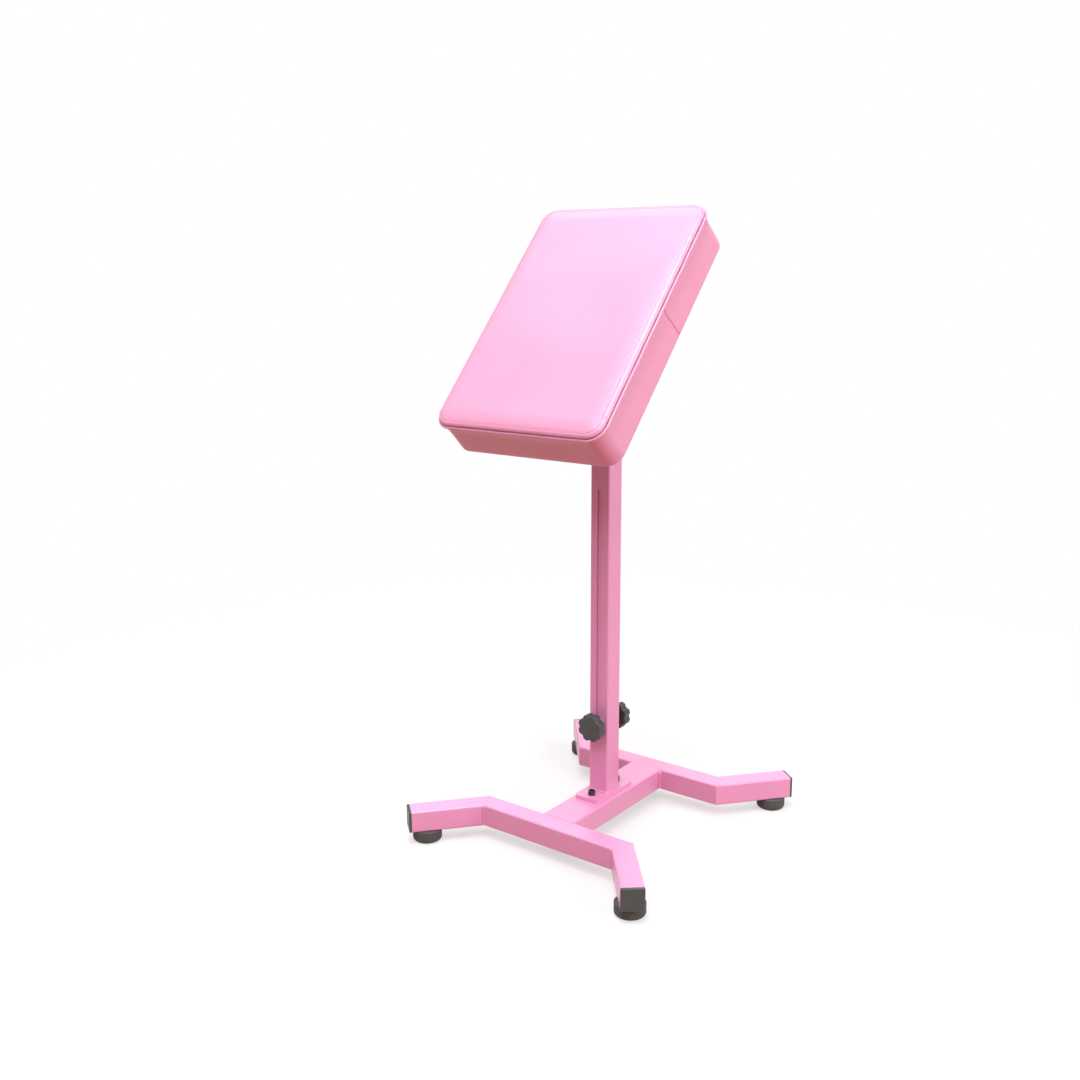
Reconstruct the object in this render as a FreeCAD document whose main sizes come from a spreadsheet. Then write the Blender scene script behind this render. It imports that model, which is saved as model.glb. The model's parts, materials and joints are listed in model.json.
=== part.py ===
import FreeCAD, Part
import math
import os
import re
import Sketcher

from FreeCAD import Placement, Rotation, Vector

# Arm rest stand. A welded base of square tube carries a slotted outer post. An inner post slides in
# it, clamped by two star knobs through the slots, and holds a cushion that tilts about a pivot bolt
# and is clamped in the arc slots of two quadrant plates.
# The origin is on the floor under the post, +Z is up and the cushion's low end points to -Y.
# Lengths are in millimetres and angles in degrees.

SIZES = {
    "Base frame": {
        "tube_size": 30.0,  # square tube of the rails, the legs and the outer post
        "tube_wall": 1.5,
        "tube_corner": 2.5,  # outside corner radius
        "rail_gauge": 244.0,  # between the centrelines of the two rails
        "rail_straight": 222.0,  # between the two bends of a rail
        "leg_length": 105.0,  # from the bend to the sawn end
        "leg_angle": 50.0,  # a leg's turn away from its rail
        "cross_width": 50.0,  # flat tube between the rails
    },
    "End caps": {
        "cap_flange": 3.5,
        "cap_edge": 1.5,  # rounding of the flange's face
        "cap_plug_depth": 14.0,
        "cap_plug_wall": 2.0,
    },
    "Feet": {
        "foot_height": 17.0,
        "foot_diameter": 39.5,
        "foot_rim": 5.0,  # rounding of the lower rim
        "foot_top_edge": 1.0,
        "foot_inset": 22.5,  # from the leg's sawn end to the foot's axis
        "foot_recess_diameter": 20.0,
        "foot_recess_depth": 8.0,
        "foot_washer_diameter": 16.0,
        "foot_washer_thickness": 1.2,
        "foot_screw_length": 19.0,
    },
    "Base plate": {
        "plate_width": 40.0,
        "plate_length": 86.0,
        "plate_thickness": 5.0,
        "plate_corner": 6.0,
        "plate_bolt_spacing": 60.0,
        "base_bolt_length": 16.0,
        "socket_head_diameter": 10.0,
        "socket_head_height": 6.0,
        "socket_flats": 5.0,
        "socket_depth": 3.0,
    },
    "Outer post": {
        "post_length": 508.0,
        "slot_width": 8.5,
        "slot_end_gap": 1.0,  # from the height stud to the slot's end at either limit
        "stud_height": 150.0,  # of the height stud above the floor, at the lowest setting
        "height_travel": 320.0,
    },
    "Guide collar": {
        "collar_flange": 3.0,
        "collar_depth": 25.0,
        "slide_gap": 0.25,  # between the inner post and its plastic guides
    },
    "Inner post": {
        "inner_size": 25.0,
        "inner_wall": 1.5,
        "inner_corner": 2.0,
        "inner_below_stud": 25.0,  # from the height stud down to the tube's lower end
        "inner_above_pivot": 16.0,  # from the pivot bolt up to the tube's upper end
        "glide_height": 10.0,
        "glide_plug_depth": 12.0,
        "top_cap_thickness": 2.5,
        "top_cap_edge": 1.0,
        "top_cap_plug_depth": 8.0,
    },
    "Fasteners": {
        "bolt_diameter": 8.0,  # height stud, pivot bolt and tilt bolt
        "bolt_hex_flats": 13.0,
        "bolt_head_height": 5.3,
        "hex_chamfer": 0.8,  # height of the turned corners of a hexagon head or nut
        "bolt_tip": 2.0,  # thread that stands out past the lock nut
        "tip_chamfer": 1.0,
        "lock_nut_height": 6.0,
        "lock_nut_collar": 2.0,
        "lock_nut_collar_diameter": 11.5,
        "bolt_washer_diameter": 16.0,
        "bolt_washer_thickness": 1.6,
        "spacer_diameter": 12.0,
        "screw_diameter": 6.0,  # foot screws, base bolts and bracket screws
        "screw_head_diameter": 12.0,
        "screw_head_height": 3.6,
        "screw_head_edge": 1.2,
        "screw_flats": 4.0,  # hexagon recess of a button head
        "screw_recess_depth": 2.0,
        "weld_nut_flats": 10.0,
        "weld_nut_height": 5.0,
        "fit_gap": 0.05,  # radial gap of a shaft or thread in its hole
        "hole_gap": 0.3,  # radial gap of a screw in its clearance hole
        "part_gap": 0.1,  # side gap of a piece that slips into another
    },
    "Star knobs": {
        "knob_diameter": 38.0,
        "knob_head": 13.0,
        "knob_hub_diameter": 18.0,
        "knob_hub": 8.0,
        "knob_lobe_count": 8,
        "scallop_radius": 5.0,
        "scallop_depth": 2.3,
        "lobe_corner": 2.6,
        "knob_face_edge": 2.4,
        "knob_back_edge": 1.2,
        "insert_diameter": 12.0,
        "insert_length": 14.0,
        "knob_bore_depth": 18.0,
        "stud_reach": 15.0,  # how far a stud reaches into its knob
        "clamp_washer_diameter": 20.0,
        "clamp_gap": 0.15,  # between a clamp washer and the face that it bears on
    },
    "Tilt head": {
        "pivot_height": 628.0,  # above the floor, at the lowest setting
        "tilt_rest": 48.0,  # the cushion's tilt as modelled
        "tilt_low": 0.0,
        "tilt_high": 80.0,
        "tilt_slot_radius": 30.0,  # from the pivot bolt to the tilt bolt
        "quadrant_radius": 42.0,
        "quadrant_thickness": 3.0,
        "quadrant_trim": 14.0,  # from the pivot to the trimmed side of the plate
        "quadrant_flare": 32.0,  # from the pivot to that side's top corner
        "friction_washer_thickness": 1.5,
        "friction_washer_diameter": 20.0,
        "bracket_width": 84.0,
        "bracket_length": 120.0,
        "bracket_thickness": 3.0,
        "bracket_corner": 8.0,
        "bracket_screw_spacing_x": 62.0,
        "bracket_screw_spacing_y": 96.0,
        "bracket_screw_length": 16.0,
    },
    "Cushion": {
        "pad_drop": 52.0,  # from the pivot to the cushion's underside
        "pad_width": 245.0,
        "pad_length": 350.0,
        "pad_corner": 21.0,
        "pad_seam_height": 54.0,  # from the underside up to the welt
        "pad_crown_rise": 9.0,
        "pad_crown_width": 76.0,  # from the welt to the nearly flat middle
        "pad_fold": 3.0,  # rounding of the lower edge
        "pad_side_draw": 2.0,  # how far the side band is drawn in
        "cover_thickness": 2.0,
        "cover_turn_under": 22.0,
        "foam_gap": 0.3,
        "board_thickness": 12.0,
        "board_gap": 0.4,  # beside the rounding of the cover's lower edge
        "welt_diameter": 3.2,
        "welt_outset": 0.9,  # from the cover's side to the welt's centre
        "seam_width": 1.0,
        "seam_depth": 0.8,
        "seam_offset": 20.0,  # of the side seams above the cushion's middle
        "tee_nut_flange_diameter": 18.0,
        "tee_nut_flange_thickness": 1.5,
        "tee_nut_barrel_diameter": 7.8,
        "tee_nut_barrel_length": 9.0,
    },
}

# Shares that shape the cushion. Each row is a share of a height and a share of an inset: for the
# lower edge both are of its rounding, for the side band of the height from there to the seam and of
# the draw, for the crown of its rise and of its width.
FOLD_SHARES = ((0.0, 1.0), (0.13, 0.5), (0.5, 0.13), (1.0, 0.0))
BAND_SHARES = ((0.0, 0.0), (0.25, 0.55), (0.5, 1.0), (0.75, 0.7), (1.0, 0.0))
CROWN_SHARES = ((0.0, 0.0), (0.55, 0.06), (0.78, 0.2), (0.9, 0.4), (0.97, 0.7), (1.0, 1.0))
CORNER_GROWTH_SHARE = 0.25  # how much of its inset a row of the crown adds to the corner radius
CORNER_LIMIT_SHARE = 0.9  # of a crown row's narrower half width, which its corner radius stays under
PLAN_DRAW_SHARE = 0.9  # how far the middle of a side is drawn in, as a share of the band's draw
LOFT_DEGREE = 3  # keeps the lofts from overshooting between rows

doc = FreeCAD.newDocument("ArmRestStand")
sheet = doc.addObject("Spreadsheet::Sheet", "Sizes")
aliases = {}
for group_name, group_sizes in SIZES.items():
    for alias, number in group_sizes.items():
        row = len(aliases) + 1
        sheet.set(f"A{row}", f"{group_name}: {alias}")
        sheet.set(f"B{row}", str(number))
        sheet.setAlias(f"B{row}", alias)
        aliases[alias] = number
doc.recompute()

nodes = []  # the sub-parts that are written to files
Precision = 1e-4  # share of a unit within which two sizes count as equal


def size(alias):
    return float(sheet.get(alias))


def bind(target, prop, formula):
    """Bind a property to a formula of the sheet's aliases."""
    def full_name(word):
        return "Sizes." + word.group() if word.group() in aliases else word.group()

    target.setExpression(prop, re.sub(r"[a-z_]+", full_name, formula))


def keep(target, label):
    """Name a finished sub-part and list it for its file."""
    target.Label = label
    nodes.append(target)
    return target


def add_body(label):
    body = doc.addObject("PartDesign::Body", label)
    body.Label = label
    return body


def place(target, x="0", y="0", z="0", axis=Vector(0, 0, 1), angle="0"):
    target.Placement = Placement(Vector(), Rotation(axis, 1))
    bind(target, "Placement.Base.x", x)
    bind(target, "Placement.Base.y", y)
    bind(target, "Placement.Base.z", z)
    bind(target, "Placement.Rotation.Angle", angle)


def add_sketch(body, plane, name, x="0", y="0", z="0", axis=Vector(0, 0, 1), angle="0"):
    """Sketch on one of the body's origin planes, moved and turned in that plane's own axes."""
    sketch = body.newObject("Sketcher::SketchObject", name)
    support = next(part for part in body.Origin.OriginFeatures if part.Role == plane)
    sketch.AttachmentSupport = (support, "")
    sketch.MapMode = "FlatFace"
    sketch.AttachmentOffset = Placement(Vector(), Rotation(axis, 1))
    bind(sketch, "AttachmentOffset.Base.x", x)
    bind(sketch, "AttachmentOffset.Base.y", y)
    bind(sketch, "AttachmentOffset.Base.z", z)
    bind(sketch, "AttachmentOffset.Rotation.Angle", angle)
    return sketch


def dimension(sketch, formula, kind, *where):
    """Add a dimension whose value comes from the sheet."""
    index = sketch.addConstraint(Sketcher.Constraint(kind, *where, 1.0))
    bind(sketch, f"Constraints[{index}]", formula)


def draw_circle(sketch, diameter, x="0", y="0"):
    circle = sketch.addGeometry(Part.Circle(Vector(1, 1, 0), Vector(0, 0, 1), 1))
    dimension(sketch, diameter, "Diameter", circle)
    draw_point(sketch, circle, 3, x, y)


def draw_point(sketch, geometry, end, x, y):
    """Hold one point of the geometry at two distances from the sketch's origin."""
    for kind, zero_axis, formula in (("DistanceX", -2, x), ("DistanceY", -1, y)):
        if formula == "0":
            sketch.addConstraint(Sketcher.Constraint("PointOnObject", geometry, end, zero_axis))
        else:
            dimension(sketch, formula, kind, -1, 1, geometry, end)


def draw_polygon(sketch, corners):
    """Closed outline through corners, each a pair of formulas."""
    count = len(corners)
    ring = [Vector(math.cos(turn), math.sin(turn), 0) for turn in
            (2 * math.pi * index / count for index in range(count))]
    lines = [sketch.addGeometry(Part.LineSegment(ring[index], ring[(index + 1) % count]))
             for index in range(count)]
    for index, line in enumerate(lines):
        following = lines[(index + 1) % count]
        sketch.addConstraint(Sketcher.Constraint("Coincident", line, 2, following, 1))
    for line, (x, y) in zip(lines, corners):
        draw_point(sketch, line, 1, x, y)


def draw_rectangle(sketch, x_low, x_high, y_low, y_high):
    draw_polygon(sketch, [(x_low, y_low), (x_high, y_low), (x_high, y_high), (x_low, y_high)])


def draw_hexagon(sketch, flats):
    corners = [(f"{flats} / sqrt(3) * cos({60 * index + 30})",
                f"{flats} / sqrt(3) * sin({60 * index + 30})") for index in range(6)]
    draw_polygon(sketch, corners)


def draw_rounded_rectangle(sketch, width, height, radius):
    """Rectangle about the sketch's origin with four equal corner arcs."""
    arcs = []
    for side_x, side_y, start in ((1, 1, 0), (-1, 1, 90), (-1, -1, 180), (1, -1, 270)):
        circle = Part.Circle(Vector(side_x * 2, side_y, 0), Vector(0, 0, 1), 1)
        arc = Part.ArcOfCircle(circle, math.radians(start), math.radians(start + 90))
        arcs.append(sketch.addGeometry(arc))
    lines = []
    for index in range(4):
        start = sketch.Geometry[arcs[index]].EndPoint
        end = sketch.Geometry[arcs[(index + 1) % 4]].StartPoint
        lines.append(sketch.addGeometry(Part.LineSegment(start, end)))
    for index, line in enumerate(lines):
        following = arcs[(index + 1) % 4]
        direction = ("Horizontal", "Vertical")[index % 2]
        sketch.addConstraint(Sketcher.Constraint("Tangent", arcs[index], 2, line, 1))
        sketch.addConstraint(Sketcher.Constraint("Tangent", line, 2, following, 1))
        sketch.addConstraint(Sketcher.Constraint(direction, line))
    for arc in arcs[1:]:
        sketch.addConstraint(Sketcher.Constraint("Equal", arcs[0], arc))
    sketch.addConstraint(Sketcher.Constraint("Symmetric", arcs[0], 3, arcs[2], 3, -1, 1))
    dimension(sketch, radius, "Radius", arcs[0])
    dimension(sketch, width, "DistanceX", lines[1], 1, lines[3], 1)
    dimension(sketch, height, "DistanceY", lines[2], 1, lines[0], 1)


def draw_upright_slot(sketch, width, low, high):
    """Slot on the sketch's upright axis; low and high are the centres of its round ends."""
    top = sketch.addGeometry(Part.ArcOfCircle(Part.Circle(Vector(0, 4, 0), Vector(0, 0, 1), 1), 0, math.pi))
    bottom = sketch.addGeometry(
        Part.ArcOfCircle(Part.Circle(Vector(0, 1, 0), Vector(0, 0, 1), 1), math.pi, 2 * math.pi))
    left = sketch.addGeometry(Part.LineSegment(Vector(-1, 4, 0), Vector(-1, 1, 0)))
    right = sketch.addGeometry(Part.LineSegment(Vector(1, 1, 0), Vector(1, 4, 0)))
    for first, second in ((top, left), (left, bottom), (bottom, right), (right, top)):
        sketch.addConstraint(Sketcher.Constraint("Tangent", first, 2, second, 1))
    sketch.addConstraint(Sketcher.Constraint("Vertical", left))
    dimension(sketch, f"{width} / 2", "Radius", top)
    draw_point(sketch, top, 3, "0", high)
    draw_point(sketch, bottom, 3, "0", low)


def add_pad(body, sketch, length, midplane=False, backwards=False):
    pad = body.newObject("PartDesign::Pad", "Pad")
    pad.Profile = sketch
    pad.Midplane = midplane
    pad.Reversed = backwards
    bind(pad, "Length", length)
    return pad


def add_pocket(body, sketch, depth=None, midplane=False, backwards=False):
    """Cut against the sketch's normal, to a depth or through everything."""
    pocket = body.newObject("PartDesign::Pocket", "Pocket")
    pocket.Profile = sketch
    pocket.Midplane = midplane
    pocket.Reversed = backwards
    if depth is None:
        pocket.Type = "ThroughAll"
    else:
        bind(pocket, "Length", depth)
    return pocket


def add_turn(body, sketch):
    """Revolve a profile about the sketch's upright axis."""
    turn = body.newObject("PartDesign::Revolution", "Turn")
    turn.Profile = sketch
    turn.ReferenceAxis = (sketch, ["V_Axis"])
    turn.Angle = 360
    return turn


def edge_names(feature, wanted):
    """Names of the feature's edges for which wanted(edge) is true."""
    doc.recompute()
    return [f"Edge{number}" for number, edge in enumerate(feature.Shape.Edges, 1) if wanted(edge)]


def add_edge_feature(body, kind, feature, wanted, amount):
    """Fillet or Chamfer on the wanted edges of a feature."""
    names = edge_names(feature, wanted)
    if not names:
        raise RuntimeError(f"{body.Label}: no edge found for its {kind}")
    dressing = body.newObject(f"PartDesign::{kind}", kind)
    dressing.Base = (feature, names)
    bind(dressing, "Radius" if kind == "Fillet" else "Size", amount)
    return dressing


def lies_at(edge, axis, level):
    """Whether the whole edge lies in the plane at that level along an axis, 0 to 2 for X to Z."""
    box = edge.BoundBox
    low = (box.XMin, box.YMin, box.ZMin)[axis]
    high = (box.XMax, box.YMax, box.ZMax)[axis]
    return abs(low - level) < Precision and abs(high - level) < Precision


def runs_along(edge, axis):
    """Whether the edge is a straight line along an axis, 0 to 2 for X to Z."""
    if not isinstance(edge.Curve, Part.Line):
        return False
    return abs(abs(edge.Curve.Direction[axis]) - 1) < Precision


def group(label, members):
    """One sub-part of several separate like solids."""
    compound = doc.addObject("Part::Compound", label)
    compound.Links = members
    return keep(compound, label)


# Fasteners, each along its own +Z axis.

def make_washer(label, outside, bore, thickness):
    body = add_body(label)
    sketch = add_sketch(body, "XY_Plane", "Ring")
    draw_circle(sketch, outside)
    draw_circle(sketch, bore)
    add_pad(body, sketch, thickness)
    return body


def turn_corners(body, flats, face, inward):
    """Turn a hexagon's corners off at 30 degrees beside one face; inward is 1 or -1 along Z."""
    inner = f"{flats} / sqrt(3) - hex_chamfer * sqrt(3)"
    outer = f"2 * {flats} / sqrt(3)"
    profile = add_sketch(body, "XZ_Plane", "Corners")
    draw_polygon(profile, [(inner, face), (outer, face),
                           (outer, f"{face} + {inward} * ({outer} - ({inner})) / sqrt(3)")])
    groove = body.newObject("PartDesign::Groove", "TurnedCorners")
    groove.Profile = profile
    groove.ReferenceAxis = (profile, ["V_Axis"])
    groove.Angle = 360


def make_hex_bolt(label, length):
    """Hexagon bolt; its head stands below the origin and its shank runs up +Z."""
    body = add_body(label)
    head = add_sketch(body, "XY_Plane", "Head")
    draw_hexagon(head, "bolt_hex_flats")
    add_pad(body, head, "bolt_head_height", backwards=True)
    turn_corners(body, "bolt_hex_flats", "-bolt_head_height", 1)
    shank = add_sketch(body, "XY_Plane", "Shank")
    draw_circle(shank, "bolt_diameter")
    pad = add_pad(body, shank, length)
    tip = max(edge.BoundBox.ZMax for edge in shape_of(pad).Edges)
    add_edge_feature(body, "Chamfer", pad, lambda edge: lies_at(edge, 2, tip), "tip_chamfer")
    return body


def shape_of(feature):
    doc.recompute()
    return feature.Shape


def make_lock_nut(label):
    """Hexagon nut with the round collar of its nylon ring on top."""
    body = add_body(label)
    hexagon = add_sketch(body, "XY_Plane", "Hexagon")
    draw_hexagon(hexagon, "bolt_hex_flats")
    add_pad(body, hexagon, "lock_nut_height")
    turn_corners(body, "bolt_hex_flats", "0", 1)
    turn_corners(body, "bolt_hex_flats", "lock_nut_height", -1)
    collar = add_sketch(body, "XY_Plane", "Collar")
    draw_circle(collar, "lock_nut_collar_diameter")
    add_pad(body, collar, "lock_nut_height + lock_nut_collar")
    bore = add_sketch(body, "XY_Plane", "Bore")
    draw_circle(bore, "bolt_diameter + 2 * fit_gap")
    add_pocket(body, bore, backwards=True)
    return body


def make_weld_nut(label, x, y, z):
    """Hexagon nut with its lower face at a place in its body's frame."""
    body = add_body(label)
    hexagon = add_sketch(body, "XY_Plane", "Hexagon", x, y, z)
    draw_hexagon(hexagon, "weld_nut_flats")
    draw_circle(hexagon, "screw_diameter + 2 * fit_gap")
    add_pad(body, hexagon, "weld_nut_height")
    return body


def make_button_screw(label, length, x, y, z, backwards=False):
    """Button head screw whose shank runs up +Z from the underside of its head."""
    body = add_body(label)
    head = add_sketch(body, "XY_Plane", "Head", x, y, z)
    draw_circle(head, "screw_head_diameter")
    head_pad = add_pad(body, head, "screw_head_height", backwards=True)
    low = shape_of(head_pad).BoundBox.ZMin
    add_edge_feature(body, "Fillet", head_pad, lambda edge: lies_at(edge, 2, low), "screw_head_edge")
    shank = add_sketch(body, "XY_Plane", "Shank", x, y, z)
    draw_circle(shank, "screw_diameter")
    add_pad(body, shank, length)
    recess = add_sketch(body, "XY_Plane", "Recess", x, y, f"{z} - screw_head_height")
    draw_hexagon(recess, "screw_flats")
    add_pocket(body, recess, "screw_recess_depth", backwards=True)
    return body


# Base frame. A tube's own frame has its centreline along +X.

def draw_tube(body, width, start, length, midplane=False):
    outside = add_sketch(body, "YZ_Plane", "Outside", z=start)
    draw_rounded_rectangle(outside, width, "tube_size", "tube_corner")
    add_pad(body, outside, length, midplane)
    bore = add_sketch(body, "YZ_Plane", "Bore", z=start)
    draw_rounded_rectangle(bore, f"{width} - 2 * tube_wall", "tube_size - 2 * tube_wall",
                           "max(tube_corner - tube_wall; tube_wall / 3)")
    return add_pocket(body, bore, midplane=midplane, backwards=not midplane)


def cut_mitre(body, at, angle):
    """Saw the tube off past a plane through its centreline, whose normal lies at an angle."""
    sketch = add_sketch(body, "XY_Plane", "Mitre", x=at, angle=angle)
    draw_rectangle(sketch, "0", "2 * tube_size", "-2 * tube_size", "2 * tube_size")
    add_pocket(body, sketch, midplane=True)


def make_rail(label, side_y):
    body = add_body(label)
    draw_tube(body, "tube_size", "0", "rail_straight + tube_size", midplane=True)
    cut_mitre(body, "rail_straight / 2", "-leg_angle / 2")
    cut_mitre(body, "-rail_straight / 2", "180 + leg_angle / 2")
    place(body, y=f"{side_y} * rail_gauge / 2", z="foot_height + tube_size / 2",
          angle="0" if side_y < 0 else "180")
    return keep(body, label)


LEGS = {"front_left": (-1, -1), "front_right": (1, -1), "rear_left": (-1, 1), "rear_right": (1, 1)}


def put_on_leg(target, corner):
    """Place a target whose own frame starts at the leg's bend and runs out along the leg."""
    side_x, side_y = LEGS[corner]
    heading = f"{side_y} * leg_angle" if side_x > 0 else f"180 - {side_y} * leg_angle"
    place(target, f"{side_x} * rail_straight / 2", f"{side_y} * rail_gauge / 2",
          "foot_height + tube_size / 2", angle=heading)


FOOT_X = "leg_length - foot_inset"


def make_leg(corner):
    side_x, side_y = LEGS[corner]
    body = add_body(f"{corner}_leg")
    draw_tube(body, "tube_size", "-tube_size / 2", "leg_length + tube_size / 2")
    cut_mitre(body, "0", f"180 - {side_x * side_y} * leg_angle / 2")
    hole = add_sketch(body, "XY_Plane", "FootHole", x=FOOT_X)
    draw_circle(hole, "screw_diameter + 2 * hole_gap")
    add_pocket(body, hole)
    put_on_leg(body, corner)
    return keep(body, f"{corner}_leg")


def make_end_cap(corner):
    """Flanged plug in the leg's sawn end."""
    body = add_body(f"{corner}_end_cap")
    flange = add_sketch(body, "YZ_Plane", "Flange", z="leg_length")
    draw_rounded_rectangle(flange, "tube_size", "tube_size", "tube_corner")
    flange_pad = add_pad(body, flange, "cap_flange")
    face = shape_of(flange_pad).BoundBox.XMax
    add_edge_feature(body, "Fillet", flange_pad, lambda edge: lies_at(edge, 0, face), "cap_edge")
    plug = add_sketch(body, "YZ_Plane", "Plug", z="leg_length")
    plug_size = "tube_size - 2 * tube_wall - 2 * part_gap"
    draw_rounded_rectangle(plug, plug_size, plug_size, "tube_corner / 2")
    add_pad(body, plug, "cap_plug_depth", backwards=True)
    hollow = add_sketch(body, "YZ_Plane", "Hollow", z="leg_length - cap_plug_depth")
    hollow_size = f"{plug_size} - 2 * cap_plug_wall"
    draw_rounded_rectangle(hollow, hollow_size, hollow_size, "tube_corner / 3")
    add_pocket(body, hollow, "cap_plug_depth", backwards=True)
    put_on_leg(body, corner)
    return keep(body, f"{corner}_end_cap")


FOOT_TOP = "-tube_size / 2"
FOOT_SOLE = "-tube_size / 2 - foot_height"
FOOT_SEAT = "-tube_size / 2 - foot_height + foot_recess_depth"


def make_foot(corner):
    """Round rubber foot with a recess for its screw."""
    body = add_body(f"{corner}_foot")
    profile = add_sketch(body, "XZ_Plane", "Profile", x=FOOT_X)
    draw_polygon(profile, [
        ("screw_diameter / 2 + hole_gap", FOOT_SEAT),
        ("foot_recess_diameter / 2", FOOT_SEAT),
        ("foot_recess_diameter / 2", FOOT_SOLE),
        ("foot_diameter / 2", FOOT_SOLE),
        ("foot_diameter / 2", FOOT_TOP),
        ("screw_diameter / 2 + hole_gap", FOOT_TOP)])
    turn = add_turn(body, profile)
    sole = shape_of(turn).BoundBox.ZMin
    top = turn.Shape.BoundBox.ZMax
    outside = size("foot_diameter") / 2

    def is_rim(edge, level):
        return lies_at(edge, 2, level) and abs(edge.Curve.Radius - outside) < Precision

    rim = add_edge_feature(body, "Fillet", turn, lambda edge: is_rim(edge, sole), "foot_rim")
    add_edge_feature(body, "Chamfer", rim, lambda edge: is_rim(edge, top), "foot_top_edge")
    put_on_leg(body, corner)
    return keep(body, f"{corner}_foot")


def make_foot_fasteners():
    """Screw, washer and weld nut of each foot."""
    screws = []
    washers = []
    nuts = []
    head_seat = f"{FOOT_SEAT} - foot_washer_thickness"
    for corner in LEGS:
        screw = make_button_screw(f"{corner}_foot_screw", "foot_screw_length", FOOT_X, "0", head_seat)
        washer = add_body(f"{corner}_foot_washer")
        ring = add_sketch(washer, "XY_Plane", "Ring", FOOT_X, "0", head_seat)
        draw_circle(ring, "foot_washer_diameter")
        draw_circle(ring, "screw_diameter + 2 * fit_gap")
        add_pad(washer, ring, "foot_washer_thickness")
        nut = make_weld_nut(f"{corner}_foot_nut", FOOT_X, "0", "tube_wall - tube_size / 2")
        for piece, collection in ((screw, screws), (washer, washers), (nut, nuts)):
            put_on_leg(piece, corner)
            collection.append(piece)
    group("foot_screws", screws)
    group("foot_washers", washers)
    group("foot_weld_nuts", nuts)


def make_cross_tube():
    body = add_body("cross_tube")
    draw_tube(body, "cross_width", "0", "rail_gauge - tube_size", midplane=True)
    holes = add_sketch(body, "XY_Plane", "BoltHoles")
    for side in (-1, 1):
        draw_circle(holes, "screw_diameter + 2 * hole_gap", x=f"{side} * plate_bolt_spacing / 2")
    add_pocket(body, holes, backwards=True)
    place(body, z="foot_height + tube_size / 2", angle="90")
    return keep(body, "cross_tube")


BASE_TOP = "foot_height + tube_size"
PLATE_TOP = "foot_height + tube_size + plate_thickness"


def make_base_plate():
    body = add_body("base_plate")
    outline = add_sketch(body, "XY_Plane", "Outline")
    draw_rounded_rectangle(outline, "plate_width", "plate_length", "plate_corner")
    for side in (-1, 1):
        draw_circle(outline, "screw_diameter + 2 * hole_gap", y=f"{side} * plate_bolt_spacing / 2")
    add_pad(body, outline, "plate_thickness")
    place(body, z=BASE_TOP)
    return keep(body, "base_plate")


def make_base_fasteners():
    """Two socket head bolts down through the plate, each in a weld nut inside the cross tube."""
    bolts = []
    nuts = []
    for name, side in (("front", -1), ("rear", 1)):
        y = f"{side} * plate_bolt_spacing / 2"
        bolt = add_body(f"{name}_base_bolt")
        head = add_sketch(bolt, "XY_Plane", "Head", y=y)
        draw_circle(head, "socket_head_diameter")
        add_pad(bolt, head, "socket_head_height")
        shank = add_sketch(bolt, "XY_Plane", "Shank", y=y)
        draw_circle(shank, "screw_diameter")
        add_pad(bolt, shank, "base_bolt_length", backwards=True)
        socket = add_sketch(bolt, "XY_Plane", "Socket", y=y, z="socket_head_height")
        draw_hexagon(socket, "socket_flats")
        add_pocket(bolt, socket, "socket_depth")
        place(bolt, z=PLATE_TOP)
        bolts.append(bolt)
        nut = make_weld_nut(f"{name}_base_nut", "0", y, "-tube_wall - weld_nut_height")
        place(nut, z=BASE_TOP)
        nuts.append(nut)
    group("base_bolts", bolts)
    group("base_weld_nuts", nuts)


# Posts. Their frames stand upright on the axis of the stand.

def draw_upright_tube(body, outside, wall, corner, length):
    outline = add_sketch(body, "XY_Plane", "Outline")
    draw_rounded_rectangle(outline, outside, outside, corner)
    draw_rounded_rectangle(outline, f"{outside} - 2 * {wall}", f"{outside} - 2 * {wall}",
                           f"max({corner} - {wall}; {wall} / 3)")
    return add_pad(body, outline, length)


POST_TOP = f"{PLATE_TOP} + post_length"


def make_outer_post():
    """Post with an upright slot through its front and rear faces for the height stud."""
    body = add_body("outer_post")
    draw_upright_tube(body, "tube_size", "tube_wall", "tube_corner", "post_length")
    slots = add_sketch(body, "XZ_Plane", "Slots")
    stud = f"stud_height - ({PLATE_TOP})"
    draw_upright_slot(slots, "slot_width", f"{stud} - slot_end_gap",
                      f"{stud} + height_travel + slot_end_gap")
    add_pocket(body, slots, midplane=True)
    place(body, z=PLATE_TOP)
    return keep(body, "outer_post")


def make_guide_collar():
    """Plastic sleeve in the post's mouth, with a flange on top."""
    body = add_body("post_guide_collar")
    flange = add_sketch(body, "XY_Plane", "Flange")
    draw_rounded_rectangle(flange, "tube_size", "tube_size", "tube_corner")
    add_pad(body, flange, "collar_flange")
    sleeve = add_sketch(body, "XY_Plane", "Sleeve")
    sleeve_size = "tube_size - 2 * tube_wall"
    draw_rounded_rectangle(sleeve, sleeve_size, sleeve_size, "tube_corner / 2 + part_gap")
    add_pad(body, sleeve, "collar_depth", backwards=True)
    bore = add_sketch(body, "XY_Plane", "Bore")
    bore_size = "inner_size + 2 * slide_gap"
    draw_rounded_rectangle(bore, bore_size, bore_size, "inner_corner")
    add_pocket(body, bore, midplane=True)
    place(body, z=POST_TOP)
    return keep(body, "post_guide_collar")


INNER_LOW = "stud_height - inner_below_stud"
INNER_TOP = "pivot_height + inner_above_pivot"
INNER_BORE = "inner_size - 2 * inner_wall"


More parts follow.
